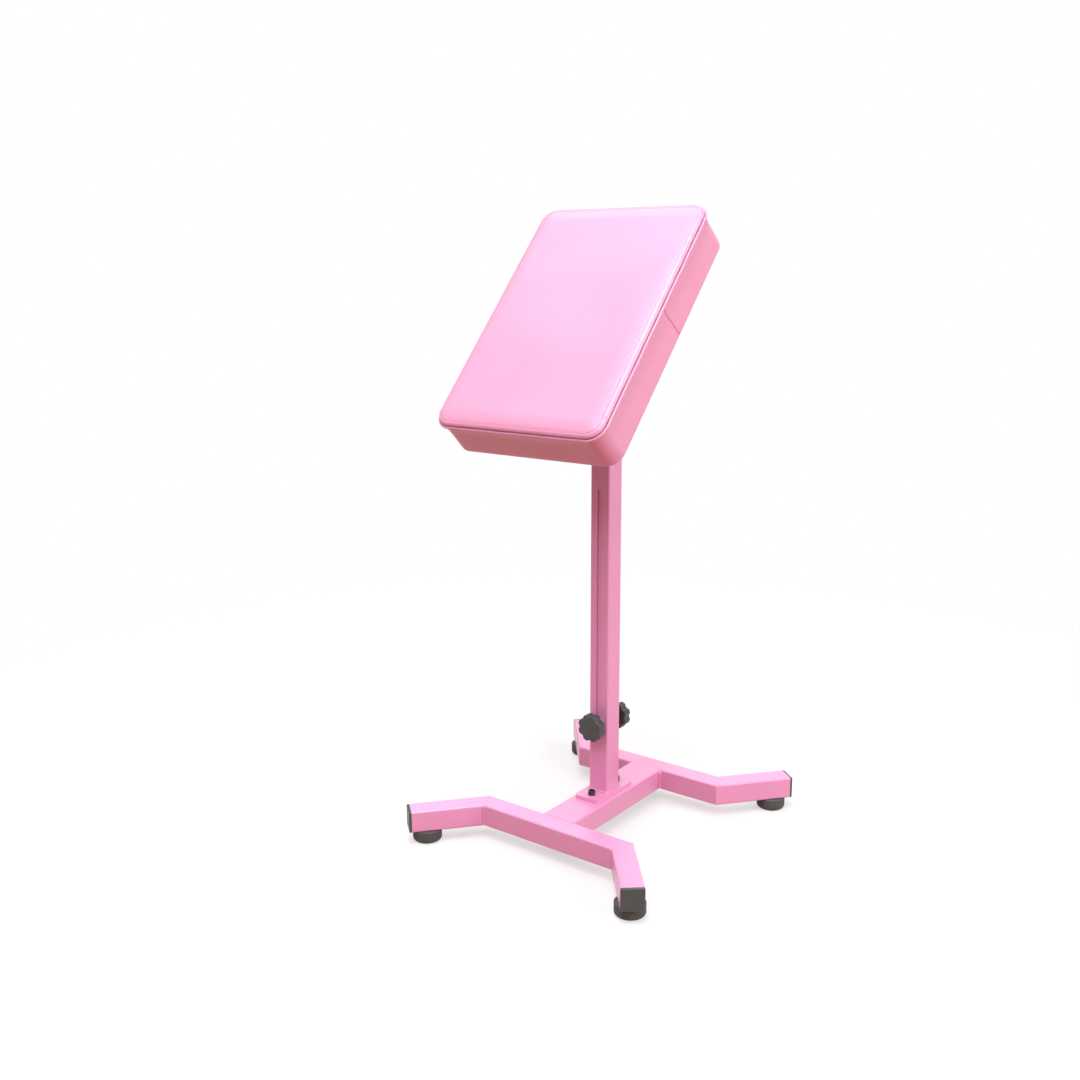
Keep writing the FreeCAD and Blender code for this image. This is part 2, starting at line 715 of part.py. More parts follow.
def make_inner_post():
    """Sliding tube, drilled through for the height stud, the pivot bolt and the tilt bolt."""
    body = add_body("inner_post")
    draw_upright_tube(body, "inner_size", "inner_wall", "inner_corner", f"{INNER_TOP} - ({INNER_LOW})")
    hole = "bolt_diameter + 2 * fit_gap"
    stud_hole = add_sketch(body, "XZ_Plane", "StudHole")
    draw_circle(stud_hole, hole, y="inner_below_stud")
    add_pocket(body, stud_hole, midplane=True)
    head_holes = add_sketch(body, "YZ_Plane", "HeadHoles")
    pivot = f"pivot_height - ({INNER_LOW})"
    draw_circle(head_holes, hole, y=pivot)
    draw_circle(head_holes, hole, y=f"{pivot} - tilt_slot_radius")
    add_pocket(body, head_holes, midplane=True)
    place(body, z=INNER_LOW)
    return keep(body, "inner_post")


def make_inner_glide():
    """Plastic glide on the tube's lower end, which runs in the bore of the outer post."""
    body = add_body("inner_post_glide")
    shoe = add_sketch(body, "XY_Plane", "Shoe")
    shoe_size = "tube_size - 2 * tube_wall - 2 * slide_gap"
    draw_rounded_rectangle(shoe, shoe_size, shoe_size, "tube_corner / 2 + part_gap")
    add_pad(body, shoe, "glide_height", backwards=True)
    plug = add_sketch(body, "XY_Plane", "Plug")
    plug_size = f"{INNER_BORE} - 2 * part_gap"
    draw_rounded_rectangle(plug, plug_size, plug_size, "inner_corner / 2")
    add_pad(body, plug, "glide_plug_depth")
    place(body, z=INNER_LOW)
    return keep(body, "inner_post_glide")


def make_top_cap():
    """Plastic cap in the tube's upper end, above the pivot spacer."""
    body = add_body("inner_post_cap")
    lid = add_sketch(body, "XY_Plane", "Lid")
    draw_rounded_rectangle(lid, "inner_size", "inner_size", "inner_corner")
    lid_pad = add_pad(body, lid, "top_cap_thickness")
    top = shape_of(lid_pad).BoundBox.ZMax
    add_edge_feature(body, "Fillet", lid_pad, lambda edge: lies_at(edge, 2, top), "top_cap_edge")
    plug = add_sketch(body, "XY_Plane", "Plug")
    plug_size = f"{INNER_BORE} - 2 * part_gap"
    draw_rounded_rectangle(plug, plug_size, plug_size, "inner_corner / 2")
    add_pad(body, plug, "top_cap_plug_depth", backwards=True)
    place(body, z=INNER_TOP)
    return keep(body, "inner_post_cap")


def make_spacer(label):
    """Crush spacer between two walls of the inner post, along +Z from its middle."""
    body = add_body(label)
    ring = add_sketch(body, "XY_Plane", "Ring")
    draw_circle(ring, "spacer_diameter")
    draw_circle(ring, "bolt_diameter + 2 * fit_gap")
    add_pad(body, ring, f"{INNER_BORE} - 2 * part_gap", midplane=True)
    return body


# Height clamp. The stud crosses the inner post and both slots, with a knob on each end.

KNOB_SEAT = "tube_size / 2 + clamp_gap + bolt_washer_thickness"


def make_height_stud():
    body = add_body("height_stud")
    shank = add_sketch(body, "XY_Plane", "Shank")
    draw_circle(shank, "bolt_diameter")
    pad = add_pad(body, shank, f"2 * ({KNOB_SEAT} + stud_reach)", midplane=True)
    tips = shape_of(pad).BoundBox
    add_edge_feature(body, "Chamfer", pad, lambda edge: lies_at(edge, 2, tips.ZMax) or
                     lies_at(edge, 2, tips.ZMin), "tip_chamfer")
    place(body, z="stud_height", axis=Vector(1, 0, 0), angle="90")
    keep(body, "height_stud")
    spacer = make_spacer("height_stud_spacer")
    place(spacer, z="stud_height", axis=Vector(1, 0, 0), angle="90")
    keep(spacer, "height_stud_spacer")


def make_star_knob(label):
    """Lobed knob along +Z from the lower face of its hub, bored for its insert."""
    body = add_body(label)
    head = add_sketch(body, "XY_Plane", "Head", z="knob_hub")
    draw_circle(head, "knob_diameter")
    add_pad(body, head, "knob_head")
    scallop = add_sketch(body, "XY_Plane", "Scallop", z="knob_hub + knob_head")
    draw_circle(scallop, "2 * scallop_radius", x="knob_diameter / 2 + scallop_radius - scallop_depth")
    cut = add_pocket(body, scallop, "knob_head")
    doc.recompute()
    lobes = body.newObject("PartDesign::PolarPattern", "Lobes")
    lobes.Originals = [cut]
    lobes.Axis = (next(part for part in body.Origin.OriginFeatures if part.Role == "Z_Axis"), [""])
    lobes.Angle = 360
    bind(lobes, "Occurrences", "knob_lobe_count")
    body.Tip = lobes
    corners = add_edge_feature(body, "Fillet", lobes, lambda edge: runs_along(edge, 2), "lobe_corner")
    back = size("knob_hub")
    face = back + size("knob_head")
    faces = add_edge_feature(body, "Fillet", corners, lambda edge: lies_at(edge, 2, face),
                             "knob_face_edge")
    add_edge_feature(body, "Fillet", faces, lambda edge: lies_at(edge, 2, back), "knob_back_edge")
    hub = add_sketch(body, "XY_Plane", "Hub")
    draw_circle(hub, "knob_hub_diameter")
    add_pad(body, hub, "knob_hub")
    bore = add_sketch(body, "XY_Plane", "Bore")
    draw_circle(bore, "insert_diameter + 2 * fit_gap")
    add_pocket(body, bore, "knob_bore_depth", backwards=True)
    return body


def make_insert(label):
    """Threaded brass bush in a knob's bore."""
    return make_washer(label, "insert_diameter", "bolt_diameter + 2 * fit_gap", "insert_length")


def make_clamp_washer(label):
    return make_washer(label, "clamp_washer_diameter", "bolt_diameter + 2 * hole_gap",
                       "bolt_washer_thickness")


def make_height_knobs():
    washer_face = "tube_size / 2 + clamp_gap"
    for name, side in (("front", -1), ("rear", 1)):
        turn = {"z": "stud_height", "axis": Vector(1, 0, 0), "angle": f"{-side} * 90"}
        washer = make_clamp_washer(f"{name}_clamp_washer")
        place(washer, y=f"{side} * ({washer_face})", **turn)
        keep(washer, f"{name}_clamp_washer")
        knob = make_star_knob(f"{name}_height_knob")
        place(knob, y=f"{side} * ({KNOB_SEAT})", **turn)
        keep(knob, f"{name}_height_knob")
        insert = make_insert(f"{name}_knob_insert")
        place(insert, y=f"{side} * ({KNOB_SEAT})", **turn)
        keep(insert, f"{name}_knob_insert")


# Tilt head, in layers out from the middle of the inner post along X.

EAR_INNER = "inner_size / 2 + friction_washer_thickness + 2 * part_gap"
EAR_OUTER = f"{EAR_INNER} + quadrant_thickness"
WASHER_FACE = f"{EAR_OUTER} + part_gap"
HEAD_FACE = f"{WASHER_FACE} + bolt_washer_thickness"
TILT_KNOB_WASHER = f"{EAR_OUTER} + clamp_gap"
TILT_KNOB_SEAT = f"{TILT_KNOB_WASHER} + bolt_washer_thickness"
TILT_BOLT_HEIGHT = "pivot_height - tilt_slot_radius"
LEFTWARDS = {"axis": Vector(0, 1, 0), "angle": "-90"}
RIGHTWARDS = {"axis": Vector(0, 1, 0), "angle": "90"}


def make_tilt_bolts():
    """Pivot bolt with its lock nut, and the tilt bolt below it, both from the right."""
    pivot = make_hex_bolt("pivot_bolt", f"2 * ({HEAD_FACE}) + lock_nut_height + lock_nut_collar + bolt_tip")
    place(pivot, x=HEAD_FACE, z="pivot_height", **LEFTWARDS)
    keep(pivot, "pivot_bolt")
    nut = make_lock_nut("pivot_lock_nut")
    place(nut, x=f"-({HEAD_FACE})", z="pivot_height", **LEFTWARDS)
    keep(nut, "pivot_lock_nut")
    tilt = make_hex_bolt("tilt_bolt", f"{HEAD_FACE} + {TILT_KNOB_SEAT} + stud_reach")
    place(tilt, x=HEAD_FACE, z=TILT_BOLT_HEIGHT, **LEFTWARDS)
    keep(tilt, "tilt_bolt")
    for label, height in (("pivot_spacer", "pivot_height"), ("tilt_spacer", TILT_BOLT_HEIGHT)):
        spacer = make_spacer(label)
        place(spacer, z=height, **RIGHTWARDS)
        keep(spacer, label)


def make_head_washers():
    """Steel washers outside the quadrants and friction washers inside them."""
    steel = []
    for label, side, height in (("pivot_washer_right", 1, "pivot_height"),
                                ("pivot_washer_left", -1, "pivot_height"),
                                ("tilt_washer_right", 1, TILT_BOLT_HEIGHT)):
        washer = make_washer(label, "bolt_washer_diameter", "bolt_diameter + 2 * fit_gap",
                             "bolt_washer_thickness")
        place(washer, x=f"{side} * ({WASHER_FACE})", z=height, **(RIGHTWARDS if side > 0 else LEFTWARDS))
        steel.append(washer)
    group("head_washers", steel)
    friction = []
    for side, name in ((-1, "left"), (1, "right")):
        for label, height in (("pivot", "pivot_height"), ("tilt", TILT_BOLT_HEIGHT)):
            washer = make_washer(f"{label}_friction_washer_{name}", "friction_washer_diameter",
                                 "bolt_diameter + 2 * fit_gap", "friction_washer_thickness")
            place(washer, x=f"{side} * inner_size / 2", z=height,
                  **(RIGHTWARDS if side > 0 else LEFTWARDS))
            friction.append(washer)
    group("friction_washers", friction)


def make_tilt_knob():
    washer = make_clamp_washer("tilt_clamp_washer")
    place(washer, x=f"-({TILT_KNOB_WASHER})", z=TILT_BOLT_HEIGHT, **LEFTWARDS)
    keep(washer, "tilt_clamp_washer")
    knob = make_star_knob("tilt_knob")
    place(knob, x=f"-({TILT_KNOB_SEAT})", z=TILT_BOLT_HEIGHT, **LEFTWARDS)
    keep(knob, "tilt_knob")
    insert = make_insert("tilt_knob_insert")
    place(insert, x=f"-({TILT_KNOB_SEAT})", z=TILT_BOLT_HEIGHT, **LEFTWARDS)
    keep(insert, "tilt_knob_insert")


# Cushion assembly. Its frame has the pivot at its origin, +Y up the cushion's length and +Z out of
# its top, and is tilted about X.

BRACKET_LOW = "pad_drop - bracket_thickness"


def put_on_cushion(target):
    place(target, z="pivot_height", axis=Vector(1, 0, 0), angle="tilt_rest")


def make_quadrant(label, side):
    """Side plate of the bracket: a round quadrant about the pivot with an arc slot in it."""
    body = add_body(label)
    start = EAR_INNER if side > 0 else f"-({EAR_OUTER})"
    disc = add_sketch(body, "YZ_Plane", "Disc", z=start)
    draw_circle(disc, "2 * quadrant_radius")
    add_pad(body, disc, "quadrant_thickness")
    cheek = add_sketch(body, "YZ_Plane", "Cheek", z=start)
    draw_rectangle(cheek, "-quadrant_radius", "quadrant_radius", "0", BRACKET_LOW)
    add_pad(body, cheek, "quadrant_thickness")
    trim = add_sketch(body, "YZ_Plane", "Trim", z=start)
    draw_polygon(trim, [
        ("quadrant_trim", "-2 * quadrant_radius"),
        ("2 * quadrant_radius", "-2 * quadrant_radius"),
        ("2 * quadrant_radius", BRACKET_LOW),
        ("quadrant_flare", BRACKET_LOW),
        ("quadrant_trim", "0")])
    add_pocket(body, trim, "quadrant_thickness", backwards=True)
    hole = add_sketch(body, "YZ_Plane", "PivotHole", z=start)
    draw_circle(hole, "bolt_diameter + 2 * fit_gap")
    add_pocket(body, hole, "quadrant_thickness", backwards=True)
    add_arc_slot(body, start)
    put_on_cushion(body)
    return keep(body, label)


def add_arc_slot(body, start):
    """Slot that lets the tilt bolt stay below the pivot while the plate turns about it."""
    section = add_sketch(body, "XZ_Plane", "SlotSection", x=start, axis=Vector(1, 0, 0),
                         angle="-(tilt_low + tilt_high) / 2")
    draw_rectangle(section, "0", "quadrant_thickness",
                   "-tilt_slot_radius - slot_width / 2", "-tilt_slot_radius + slot_width / 2")
    doc.recompute()
    sweep = body.newObject("PartDesign::Groove", "SlotSweep")
    sweep.Profile = section
    sweep.ReferenceAxis = (next(part for part in body.Origin.OriginFeatures if part.Role == "X_Axis"), [""])
    sweep.Midplane = True
    bind(sweep, "Angle", "tilt_high - tilt_low")
    for end in ("tilt_low", "tilt_high"):
        hole = add_sketch(body, "YZ_Plane", "SlotEnd", z=start)
        draw_circle(hole, "slot_width", f"-tilt_slot_radius * sin({end})", f"-tilt_slot_radius * cos({end})")
        add_pocket(body, hole, "quadrant_thickness", backwards=True)


BRACKET_SCREWS = [(side_x, side_y) for side_x in (-1, 1) for side_y in (-1, 1)]


def bracket_place(side_x, side_y):
    return f"{side_x} * bracket_screw_spacing_x / 2", f"{side_y} * bracket_screw_spacing_y / 2"


def cut_screw_holes(body, diameter, z, depth, backwards):
    holes = add_sketch(body, "XY_Plane", "ScrewHoles", z=z)
    for side_x, side_y in BRACKET_SCREWS:
        draw_circle(holes, diameter, *bracket_place(side_x, side_y))
    add_pocket(body, holes, depth, backwards=backwards)


def make_bracket_plate():
    body = add_body("bracket_plate")
    outline = add_sketch(body, "XY_Plane", "Outline", z=BRACKET_LOW)
    draw_rounded_rectangle(outline, "bracket_width", "bracket_length", "bracket_corner")
    add_pad(body, outline, "bracket_thickness")
    cut_screw_holes(body, "screw_diameter + 2 * hole_gap", BRACKET_LOW, "bracket_thickness", True)
    put_on_cushion(body)
    return keep(body, "bracket_plate")


BOARD_LOW = "pad_drop + cover_thickness"
BOARD_TOP = f"{BOARD_LOW} + board_thickness"


def make_bracket_fasteners():
    """Screws up through the bracket and the board, each in a tee nut let into the board's top."""
    screws = []
    nuts = []
    flange_low = f"{BOARD_TOP} - tee_nut_flange_thickness"
    for number, (side_x, side_y) in enumerate(BRACKET_SCREWS, 1):
        x, y = bracket_place(side_x, side_y)
        screw = make_button_screw(f"bracket_screw_{number}", "bracket_screw_length", x, y, BRACKET_LOW)
        nut = add_body(f"tee_nut_{number}")
        flange = add_sketch(nut, "XY_Plane", "Flange", x, y, flange_low)
        draw_circle(flange, "tee_nut_flange_diameter")
        add_pad(nut, flange, "tee_nut_flange_thickness")
        barrel = add_sketch(nut, "XY_Plane", "Barrel", x, y, flange_low)
        draw_circle(barrel, "tee_nut_barrel_diameter")
        add_pad(nut, barrel, "tee_nut_barrel_length", backwards=True)
        bore = add_sketch(nut, "XY_Plane", "Bore", x, y, flange_low)
        draw_circle(bore, "screw_diameter + 2 * fit_gap")
        add_pocket(nut, bore, midplane=True)
        for piece, collection in ((screw, screws), (nut, nuts)):
            put_on_cushion(piece)
            collection.append(piece)
    group("bracket_screws", screws)
    group("tee_nuts", nuts)


def make_board():
    """Plywood board inside the cover, drilled and sunk for the tee nuts."""
    body = add_body("pad_board")
    outline = add_sketch(body, "XY_Plane", "Outline", z=BOARD_LOW)
    inset = "2 * (cover_thickness + pad_fold + board_gap)"
    draw_rounded_rectangle(outline, f"pad_width - {inset}", f"pad_length - {inset}",
                           "pad_corner - cover_thickness")
    add_pad(body, outline, "board_thickness")
    cut_screw_holes(body, "tee_nut_barrel_diameter + 2 * part_gap", BOARD_LOW, "board_thickness", True)
    cut_screw_holes(body, "tee_nut_flange_diameter + 2 * part_gap", BOARD_TOP,
                    "tee_nut_flange_thickness", False)
    put_on_cushion(body)
    return keep(body, "pad_board")


def make_dust_cover():
    """Felt sheet under the board, inside the cover's turned edge."""
    body = add_body("dust_cover")
    outline = add_sketch(body, "XY_Plane", "Outline", z="pad_drop")
    inset = "2 * (cover_turn_under + part_gap)"
    draw_rounded_rectangle(outline, f"pad_width - {inset}", f"pad_length - {inset}", "pad_corner / 2")
    add_pad(body, outline, "cover_thickness")
    cut_screw_holes(body, "screw_diameter + 2 * hole_gap", "pad_drop", "cover_thickness", True)
    put_on_cushion(body)
    return keep(body, "dust_cover")


def cushion_section(height, inset, draw, radius):
    """Closed wire of four sides and four corner arcs at one height above the cushion's underside.

    draw pulls the middle of each side in."""
    height += size("pad_drop")
    half_x = size("pad_width") / 2 - inset
    half_y = size("pad_length") / 2 - inset
    slant = radius * (1 - math.sqrt(0.5))
    edges = []
    for side_x, side_y in ((1, 1), (-1, 1), (-1, -1), (1, -1)):
        beside = Vector(side_x * half_x, side_y * (half_y - radius), height)
        middle = Vector(side_x * (half_x - slant), side_y * (half_y - slant), height)
        above = Vector(side_x * (half_x - radius), side_y * half_y, height)
        points = (beside, middle, above) if side_x == side_y else (above, middle, beside)
        edges.append((points, Part.Arc(*points).toShape()))
    pulled = []
    middles = (Vector(0, half_y - draw, height), Vector(-half_x + draw, 0, height),
               Vector(0, -half_y + draw, height), Vector(half_x - draw, 0, height))
    for index, middle in enumerate(middles):
        start = edges[index][0][2]
        end = edges[(index + 1) % 4][0][0]
        pulled.append(edges[index][1])
        side = Part.Arc(start, middle, end) if draw > 0 else Part.LineSegment(start, end)
        pulled.append(side.toShape())
    return Part.Wire(pulled)


def cushion_form(skin, low):
    """Crowned cushion, everywhere a skin's thickness inside the cover, standing on a low plane."""
    seam = size("pad_seam_height")
    fold = size("pad_fold")
    draw = size("pad_side_draw")
    crown_top = seam + size("pad_crown_rise") - skin
    corner = size("pad_corner") - skin
    edge = [cushion_section(low + fold * height, skin + fold * inset, 0, corner)
            for height, inset in FOLD_SHARES]
    band_low = low + fold
    band = []
    for height, inset in BAND_SHARES:
        pull = draw * inset
        band.append(cushion_section(band_low + (seam - band_low) * height, skin + pull,
                                    pull * PLAN_DRAW_SHARE, corner))
    narrow_half = min(size("pad_width"), size("pad_length")) / 2 - skin
    crown = []
    for height, inset in CROWN_SHARES:
        reach = size("pad_crown_width") * inset
        radius = min(corner + CORNER_GROWTH_SHARE * reach, CORNER_LIMIT_SHARE * (narrow_half - reach))
        crown.append(cushion_section(seam + (crown_top - seam) * height, skin + reach, 0, radius))
    lofts = [Part.makeLoft(rows, True, False, False, LOFT_DEGREE) for rows in (edge, band, crown)]
    return lofts[0].fuse(lofts[1:])


def slab(half_x, half_y, low, high):
    """Block between two heights above the cushion's underside."""
    corner = Vector(-half_x, -half_y, size("pad_drop") + low)
    return Part.makeBox(2 * half_x, 2 * half_y, high - low, corner)


def welt_ring(radius):
    """Closed round bead along the seam."""
    outset = size("welt_outset")
    seam = size("pad_seam_height")
    path = cushion_section(seam, -outset, 0, size("pad_corner") + outset)
    start = path.Vertexes[0].Point
    profile = Part.Wire(Part.makeCircle(radius, start, Vector(0, 1, 0)))
    return path.makePipeShell([profile], True, True)


def side_seams():
    """Upright notches in the middle of both long sides, where the side band is joined."""
    half = size("pad_width") / 2
    depth = size("seam_depth") + size("pad_side_draw") * (1 + PLAN_DRAW_SHARE)
    width = size("seam_width")
    height = size("pad_seam_height") - size("welt_diameter")
    notches = []
    for side in (-1, 1):
        corner = Vector(side * half - depth, size("seam_offset") - width / 2,
                        size("pad_drop") + size("pad_fold"))
        notches.append(Part.makeBox(2 * depth, width, height - size("pad_fold"), corner))
    return notches


def add_soft(label, shape):
    feature = doc.addObject("Part::Feature", label)
    feature.Shape = shape
    put_on_cushion(feature)
    return keep(feature, label)


def make_soft_pieces():
    skin = size("cover_thickness")
    board_top = skin + size("board_thickness")
    far = size("pad_length")
    inner = cushion_form(skin, skin)
    opening = slab(size("pad_width") / 2 - size("cover_turn_under"),
                   size("pad_length") / 2 - size("cover_turn_under"), -skin, 2 * skin)
    groove = welt_ring(size("welt_diameter") / 2 + size("foam_gap"))
    cover = cushion_form(0, 0).cut([inner, opening, groove] + side_seams())
    foam = cushion_form(skin + size("foam_gap"), skin).cut(slab(far, far, -far, board_top))
    add_soft("pad_cover", cover)
    add_soft("pad_foam", foam)
    add_soft("pad_welt", welt_ring(size("welt_diameter") / 2))


make_rail("front_rail", -1)
make_rail("rear_rail", 1)
make_cross_tube()
for corner_name in LEGS:
    make_leg(corner_name)
    make_end_cap(corner_name)
    make_foot(corner_name)
make_foot_fasteners()
make_base_plate()
make_base_fasteners()
make_outer_post()
make_guide_collar()
make_inner_post()
make_inner_glide()
make_top_cap()
make_height_stud()
make_height_knobs()
make_tilt_bolts()
make_head_washers()
make_tilt_knob()
make_quadrant("left_quadrant", -1)
make_quadrant("right_quadrant", 1)
make_bracket_plate()
make_bracket_fasteners()
make_board()
make_dust_cover()
make_soft_pieces()
doc.recompute()

for item in doc.Objects:
    if "Invalid" in item.State or "Error" in item.State:
        raise RuntimeError(f"{item.Label} did not build: {item.State}")
for node in nodes:
    if node.Shape.isNull() or not node.Shape.isValid():
        raise RuntimeError(f"{node.Label} has no valid shape")

os.makedirs("parts", exist_ok=True)
for node in nodes:
    node.Shape.exportStep(f"parts/{node.Label}.step")
    print(f"{node.Label}: {len(node.Shape.Solids)} solids, {node.Shape.Volume:.0f} mm3")
print(f"{len(nodes)} sub-parts")
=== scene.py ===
import json
import math
import random

import bmesh
import bpy
from mathutils import Matrix, Vector, noise
from mathutils.bvhtree import BVHTree


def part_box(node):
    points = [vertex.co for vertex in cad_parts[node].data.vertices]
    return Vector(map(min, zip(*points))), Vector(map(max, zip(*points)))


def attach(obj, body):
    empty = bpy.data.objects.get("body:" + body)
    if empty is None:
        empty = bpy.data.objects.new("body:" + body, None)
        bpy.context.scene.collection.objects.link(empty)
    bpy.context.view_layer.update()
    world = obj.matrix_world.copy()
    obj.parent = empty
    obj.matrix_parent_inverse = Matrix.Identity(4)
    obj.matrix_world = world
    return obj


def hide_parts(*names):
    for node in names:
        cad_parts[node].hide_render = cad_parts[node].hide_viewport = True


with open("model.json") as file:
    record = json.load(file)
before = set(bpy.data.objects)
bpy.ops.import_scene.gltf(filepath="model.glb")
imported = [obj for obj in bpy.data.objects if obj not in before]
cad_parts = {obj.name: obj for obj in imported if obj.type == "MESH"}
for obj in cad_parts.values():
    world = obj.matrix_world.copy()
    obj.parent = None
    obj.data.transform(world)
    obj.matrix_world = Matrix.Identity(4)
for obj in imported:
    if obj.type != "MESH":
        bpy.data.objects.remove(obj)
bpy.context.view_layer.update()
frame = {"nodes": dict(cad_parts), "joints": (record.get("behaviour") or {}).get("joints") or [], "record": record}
print("frame loaded,", len(frame["nodes"]), "nodes")

quarterTurn = math.pi / 2
fullTurn = 2 * math.pi
phaseSpan = 6.28  # random phases of waves are drawn from 0 to this
tiny = 0.000001  # metres, as good as nothing
zAxis = Vector((0, 0, 1))
scene = bpy.context.scene


def addObject(name, data):
    made = bpy.data.objects.new(name, data)
    scene.collection.objects.link(made)
    return made


def direction(angle):
    return Vector((math.cos(angle), math.sin(angle), 0))


# The camera stands where the photograph was taken from.

view = {
    "place": (0.873155, -1.293656, 0.759106),
    "yaw": 37.24,  # degrees, to the left of straight along +Y
    "pitch": -12.789,
    "roll": -0.243,
    "lens": 40.10,
    "sensor": 36.0,
    "nearest": 0.05,
    "farthest": 100.0,
}


def addCamera():
    data = bpy.data.cameras.new("camera")
    data.lens = view["lens"]
    data.sensor_width = view["sensor"]
    data.clip_start = view["nearest"]
    data.clip_end = view["farthest"]
    camera = addObject("camera", data)
    turn = (Matrix.Rotation(math.radians(view["yaw"]), 4, "Z")
            @ Matrix.Rotation(math.radians(90 + view["pitch"]), 4, "X")
            @ Matrix.Rotation(math.radians(view["roll"]), 4, "Z"))
    camera.matrix_world = Matrix.Translation(view["place"]) @ turn
    scene.camera = camera


addCamera()
print("camera set")


# Studio: soft lamps, a dim warm surround, and a white floor and background for the camera.

lamps = {
    "frontLamp": {"place": (0.35, -1.55, 2.45), "aim": (0.0, 0.0, 0.4), "size": 1.9, "power": 38.0,
                  "colour": (1.0, 0.965, 1.05)},
    "rightLamp": {"place": (2.35, 0.1, 0.95), "aim": (0.0, 0.0, 0.4), "size": 1.8, "power": 27.0,
                  "colour": (1.0, 0.98, 1.0)},
    "overheadLamp": {"place": (-0.75, 0.45, 2.9), "aim": (0.05, 0.05, 0.6), "size": 1.8, "power": 31.0,
                     "colour": (1.0, 0.99, 1.02)},
    "edgeLamp": {"place": (0.3, -0.6, 2.7), "aim": (0.05, 0.0, 0.7), "size": 0.4, "power": 16.0,
                 "colour": (1.0, 1.0, 1.0)},
    "sideLamp": {"place": (1.2, 0.5, 1.25), "aim": (0.1, 0.0, 0.8), "size": 0.5, "power": 2.6,
                 "colour": (1.0, 1.0, 1.12)},
    "rearLamp": {"place": (-1.5, 2.2, 1.65), "aim": (0.0, 0.1, 0.2), "size": 2.0, "power": 9.0,
                 "colour": (1.0, 0.98, 1.02)},
    # a shine along the cushion's shoulder and the tubes' edges, without more light on them
    "glintLamp": {"place": (0.97, -0.77, 2.7), "aim": (0.0, 0.0, 0.4), "size": 0.9, "power": 42.0,
                  "colour": (1.0, 0.99, 1.0), "glossyOnly": True},
}

surround = {
    "colour": (1.0, 0.80, 0.72),
    "strength": 0.44,
    "glossColour": (0.8, 0.8, 0.8),  # what glossy surfaces see of it
    "glossStrength": 0.7,
    "floorSize": 60.0,
    "floorDepth": 0.0003,  # of the floor below the soles
    "floorWhite": (0.94, 0.962, 0.975),
    "floorBounce": (0.30, 0.065, 0.035),  # what the object's undersides see of the floor
    "clearNear": 0.55,  # share of plain white in the floor beside the object
    "fadeStart": 0.45,
    "fadeEnd": 1.6,
}


def addLamp(name):
    plan = lamps[name]
    data = bpy.data.lights.new(name, "AREA")
    data.shape = "SQUARE"
    data.size = plan["size"]
    data.energy = plan["power"]
    data.color = plan["colour"]
    lamp = addObject(name, data)
    lamp.location = plan["place"]
    lamp.visible_diffuse = not plan.get("glossyOnly", False)
    heading = Vector(plan["aim"]) - Vector(plan["place"])
    lamp.rotation_euler = heading.to_track_quat("-Z", "Y").to_euler()


def seenDirectly(nodes, links):
    # 1 for camera, glossy and transmission rays, 0 for diffuse light
    rays = nodes.new("ShaderNodeLightPath").outputs
    seen = rays["Is Camera Ray"]
    for kind in ("Is Glossy Ray", "Is Transmission Ray"):
        either = nodes.new("ShaderNodeMath")
        either.operation = "MAXIMUM"
        links.new(seen, either.inputs[0])
        links.new(rays[kind], either.inputs[1])
        seen = either.outputs[0]
    return seen


def mixShaders(nodes, links, share, first, second):
    mixed = nodes.new("ShaderNodeMixShader")
    for socket, output in zip(mixed.inputs, (share, first, second)):
        links.new(output, socket)
    return mixed.outputs[0]


def addBackground(nodes, colour, strength):
    background = nodes.new("ShaderNodeBackground")
    background.inputs["Color"].default_value = (*colour, 1.0)
    background.inputs["Strength"].default_value = strength
    return background.outputs[0]


def mapRange(nodes, links, pattern, *limits):
    # the limits are the pattern's own, then those that it gets
    ranged = nodes.new("ShaderNodeMapRange")
    for socket, limit in zip(("From Min", "From Max", "To Min", "To Max"), limits):
        ranged.inputs[socket].default_value = limit
    links.new(pattern, ranged.inputs["Value"])
    return ranged


def setWorld():
    world = bpy.data.worlds.new("studio")
    scene.world = world
    world.use_nodes = True
    nodes, links = world.node_tree.nodes, world.node_tree.links
    nodes.clear()
    dim = addBackground(nodes, surround["colour"], surround["strength"])
    white = addBackground(nodes, (1.0, 1.0, 1.0), 1.0)
    gloss = addBackground(nodes, surround["glossColour"], surround["glossStrength"])
    seen = mixShaders(nodes, links, seenDirectly(nodes, links), dim, white)
    isGlossy = nodes.new("ShaderNodeLightPath").outputs["Is Glossy Ray"]
    whole = mixShaders(nodes, links, isGlossy, seen, gloss)
    links.new(whole, nodes.new("ShaderNodeOutputWorld").inputs["Surface"])


def addDiffuse(nodes, colour):
    diffuse = nodes.new("ShaderNodeBsdfDiffuse")
    diffuse.inputs["Color"].default_value = (*colour, 1.0)
    return diffuse.outputs[0]


